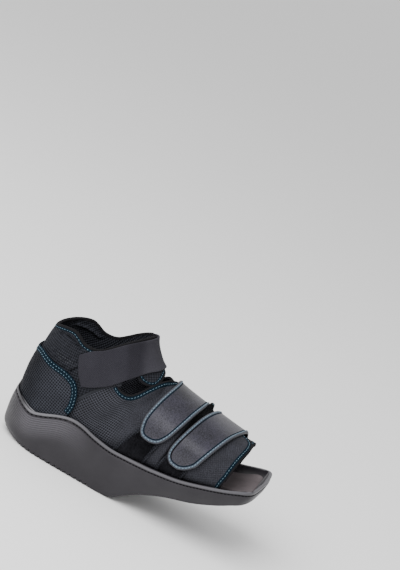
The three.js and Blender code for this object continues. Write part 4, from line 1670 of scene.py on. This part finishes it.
def make_ankle_strap(finishes):
    panel = Panel(ANKLE_STRAP + mirrored(ANKLE_STRAP[::-1], TOP), ANKLE_STRAP_WALL, COLLAR_WALL + GAP)
    strap, cut = panel_mesh("ankle_strap_webbing", panel, ANKLE_STRAP_STEP)
    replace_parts(finish_piece(strap, finishes["webbing"]), "ankle_strap")


def make_insole(finishes):
    rows = [(station, BACK + half, station, BACK - half) for station, half in INSOLE_GIRTHS]
    panel = Panel(rows, INSOLE_RISE + INSOLE_DEPTH, -INSOLE_RISE)
    insole, _ = panel_mesh("insole_foam", panel, INSOLE_STEP)
    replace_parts(finish_piece(insole, finishes["insole"]), "insole")


# Stage, light and camera, in metres: the floor's half size, what the lights aim at, each light's place, size
# and watts, and the nearest and farthest that the camera sees
FLOOR_HALF = 20.0
LIGHT_AIM = (0, 0, 0.06)
KEY_LIGHT = {"place": (-0.7, -0.8, 1.6), "size": 2.0, "watts": 53}
SIDE_LIGHT = {"place": (-0.65, -1.45, 1.05), "size": 1.0, "watts": 8}
CLIP = (0.05, 100)


def make_stage():
    corners = [(x * FLOOR_HALF, y * FLOOR_HALF, 0) for x, y in ((-1, -1), (1, -1), (1, 1), (-1, 1))]
    mesh = bpy.data.meshes.new("floor")
    mesh.from_pydata(corners, [], [(0, 1, 2, 3)])
    floor = bpy.data.objects.new("floor", mesh)
    bpy.context.scene.collection.objects.link(floor)
    finish = bpy.data.materials.new("pale_floor")
    finish.use_nodes = True
    shader = finish.node_tree.nodes["Principled BSDF"]
    shader.inputs["Base Color"].default_value = (0.86, 0.86, 0.86, 1)
    shader.inputs["Roughness"].default_value = 0.9
    shader.inputs["Specular IOR Level"].default_value = 0.1
    floor.data.materials.append(finish)


def soft_light(name, place, size, watts, reflected=True):
    """A round soft light; one that isn't reflected leaves no image of itself on glossy pieces."""
    data = bpy.data.lights.new(name, "AREA")
    data.shape = "DISK"
    data.size = size
    data.energy = watts
    light = bpy.data.objects.new(name, data)
    light.location = place
    light.rotation_mode = "QUATERNION"
    light.rotation_quaternion = (Vector(LIGHT_AIM) - Vector(place)).to_track_quat("-Z", "Y")
    light.visible_glossy = reflected
    bpy.context.scene.collection.objects.link(light)


def make_light():
    world = bpy.data.worlds.new("studio")
    bpy.context.scene.world = world
    world.use_nodes = True
    background = world.node_tree.nodes["Background"]
    background.inputs["Color"].default_value = (1, 1, 1, 1)
    background.inputs["Strength"].default_value = 1.0
    soft_light("key", **KEY_LIGHT, reflected=False)
    soft_light("side", **SIDE_LIGHT)


def make_camera():
    """Looks at the shoe from the side and above, rolled so that the toe end points down."""
    azimuth, elevation, roll = (math.radians(a) for a in (VIEW_AZIMUTH, VIEW_ELEVATION, VIEW_ROLL))
    level_share = math.cos(elevation)
    back = Vector((math.sin(azimuth) * level_share, -math.cos(azimuth) * level_share, math.sin(elevation)))
    level = Vector((math.cos(azimuth), math.sin(azimuth), 0))
    upright = level.cross(-back)
    right = level * math.cos(roll) + upright * math.sin(roll)
    up = upright * math.cos(roll) - level * math.sin(roll)
    across = (VIEW_TARGET_PIXEL[0] - PICTURE[0] / 2) / FOCAL_PIXELS
    down = (VIEW_TARGET_PIXEL[1] - PICTURE[1] / 2) / FOCAL_PIXELS
    turn = Vector((0, 0, 1)).rotation_difference(Vector((across, -down, 1))).to_matrix()
    axes = turn @ Matrix((right, up, -back))
    data = bpy.data.cameras.new("camera")
    data.sensor_width = SENSOR
    data.lens = FOCAL_PIXELS * SENSOR / max(PICTURE)
    data.clip_start, data.clip_end = CLIP
    camera = bpy.data.objects.new("camera", data)
    place = Vector(placed(np.array(VIEW_TARGET, float))) + back * VIEW_DISTANCE * MM
    facing = Matrix((axes[0], axes[1], -axes[2])).transposed().to_4x4()
    camera.matrix_world = Matrix.Translation(place) @ facing
    bpy.context.scene.collection.objects.link(camera)
    bpy.context.scene.camera = camera


make_camera()
make_stage()
make_light()
finishes = make_finishes()
make_sole(finishes["sole"], finishes["dark_thread"])
make_insole(finishes)
make_collar(finishes)
make_quarter("lateral", QUARTER, outer_quarter_height, outer_cloth_relief, finishes)
make_quarter("medial", mirrored(QUARTER, TOP), 0.0, cloth_relief, finishes)
make_counter(finishes)
make_loop_patch("rear", LOOP_REAR, 11, finishes)
make_loop_patch("front", LOOP_FRONT, 12, finishes)
make_strap("rear", STRAP_REAR, finishes)
make_strap("front", STRAP_FRONT, finishes)
make_ankle_strap(finishes)
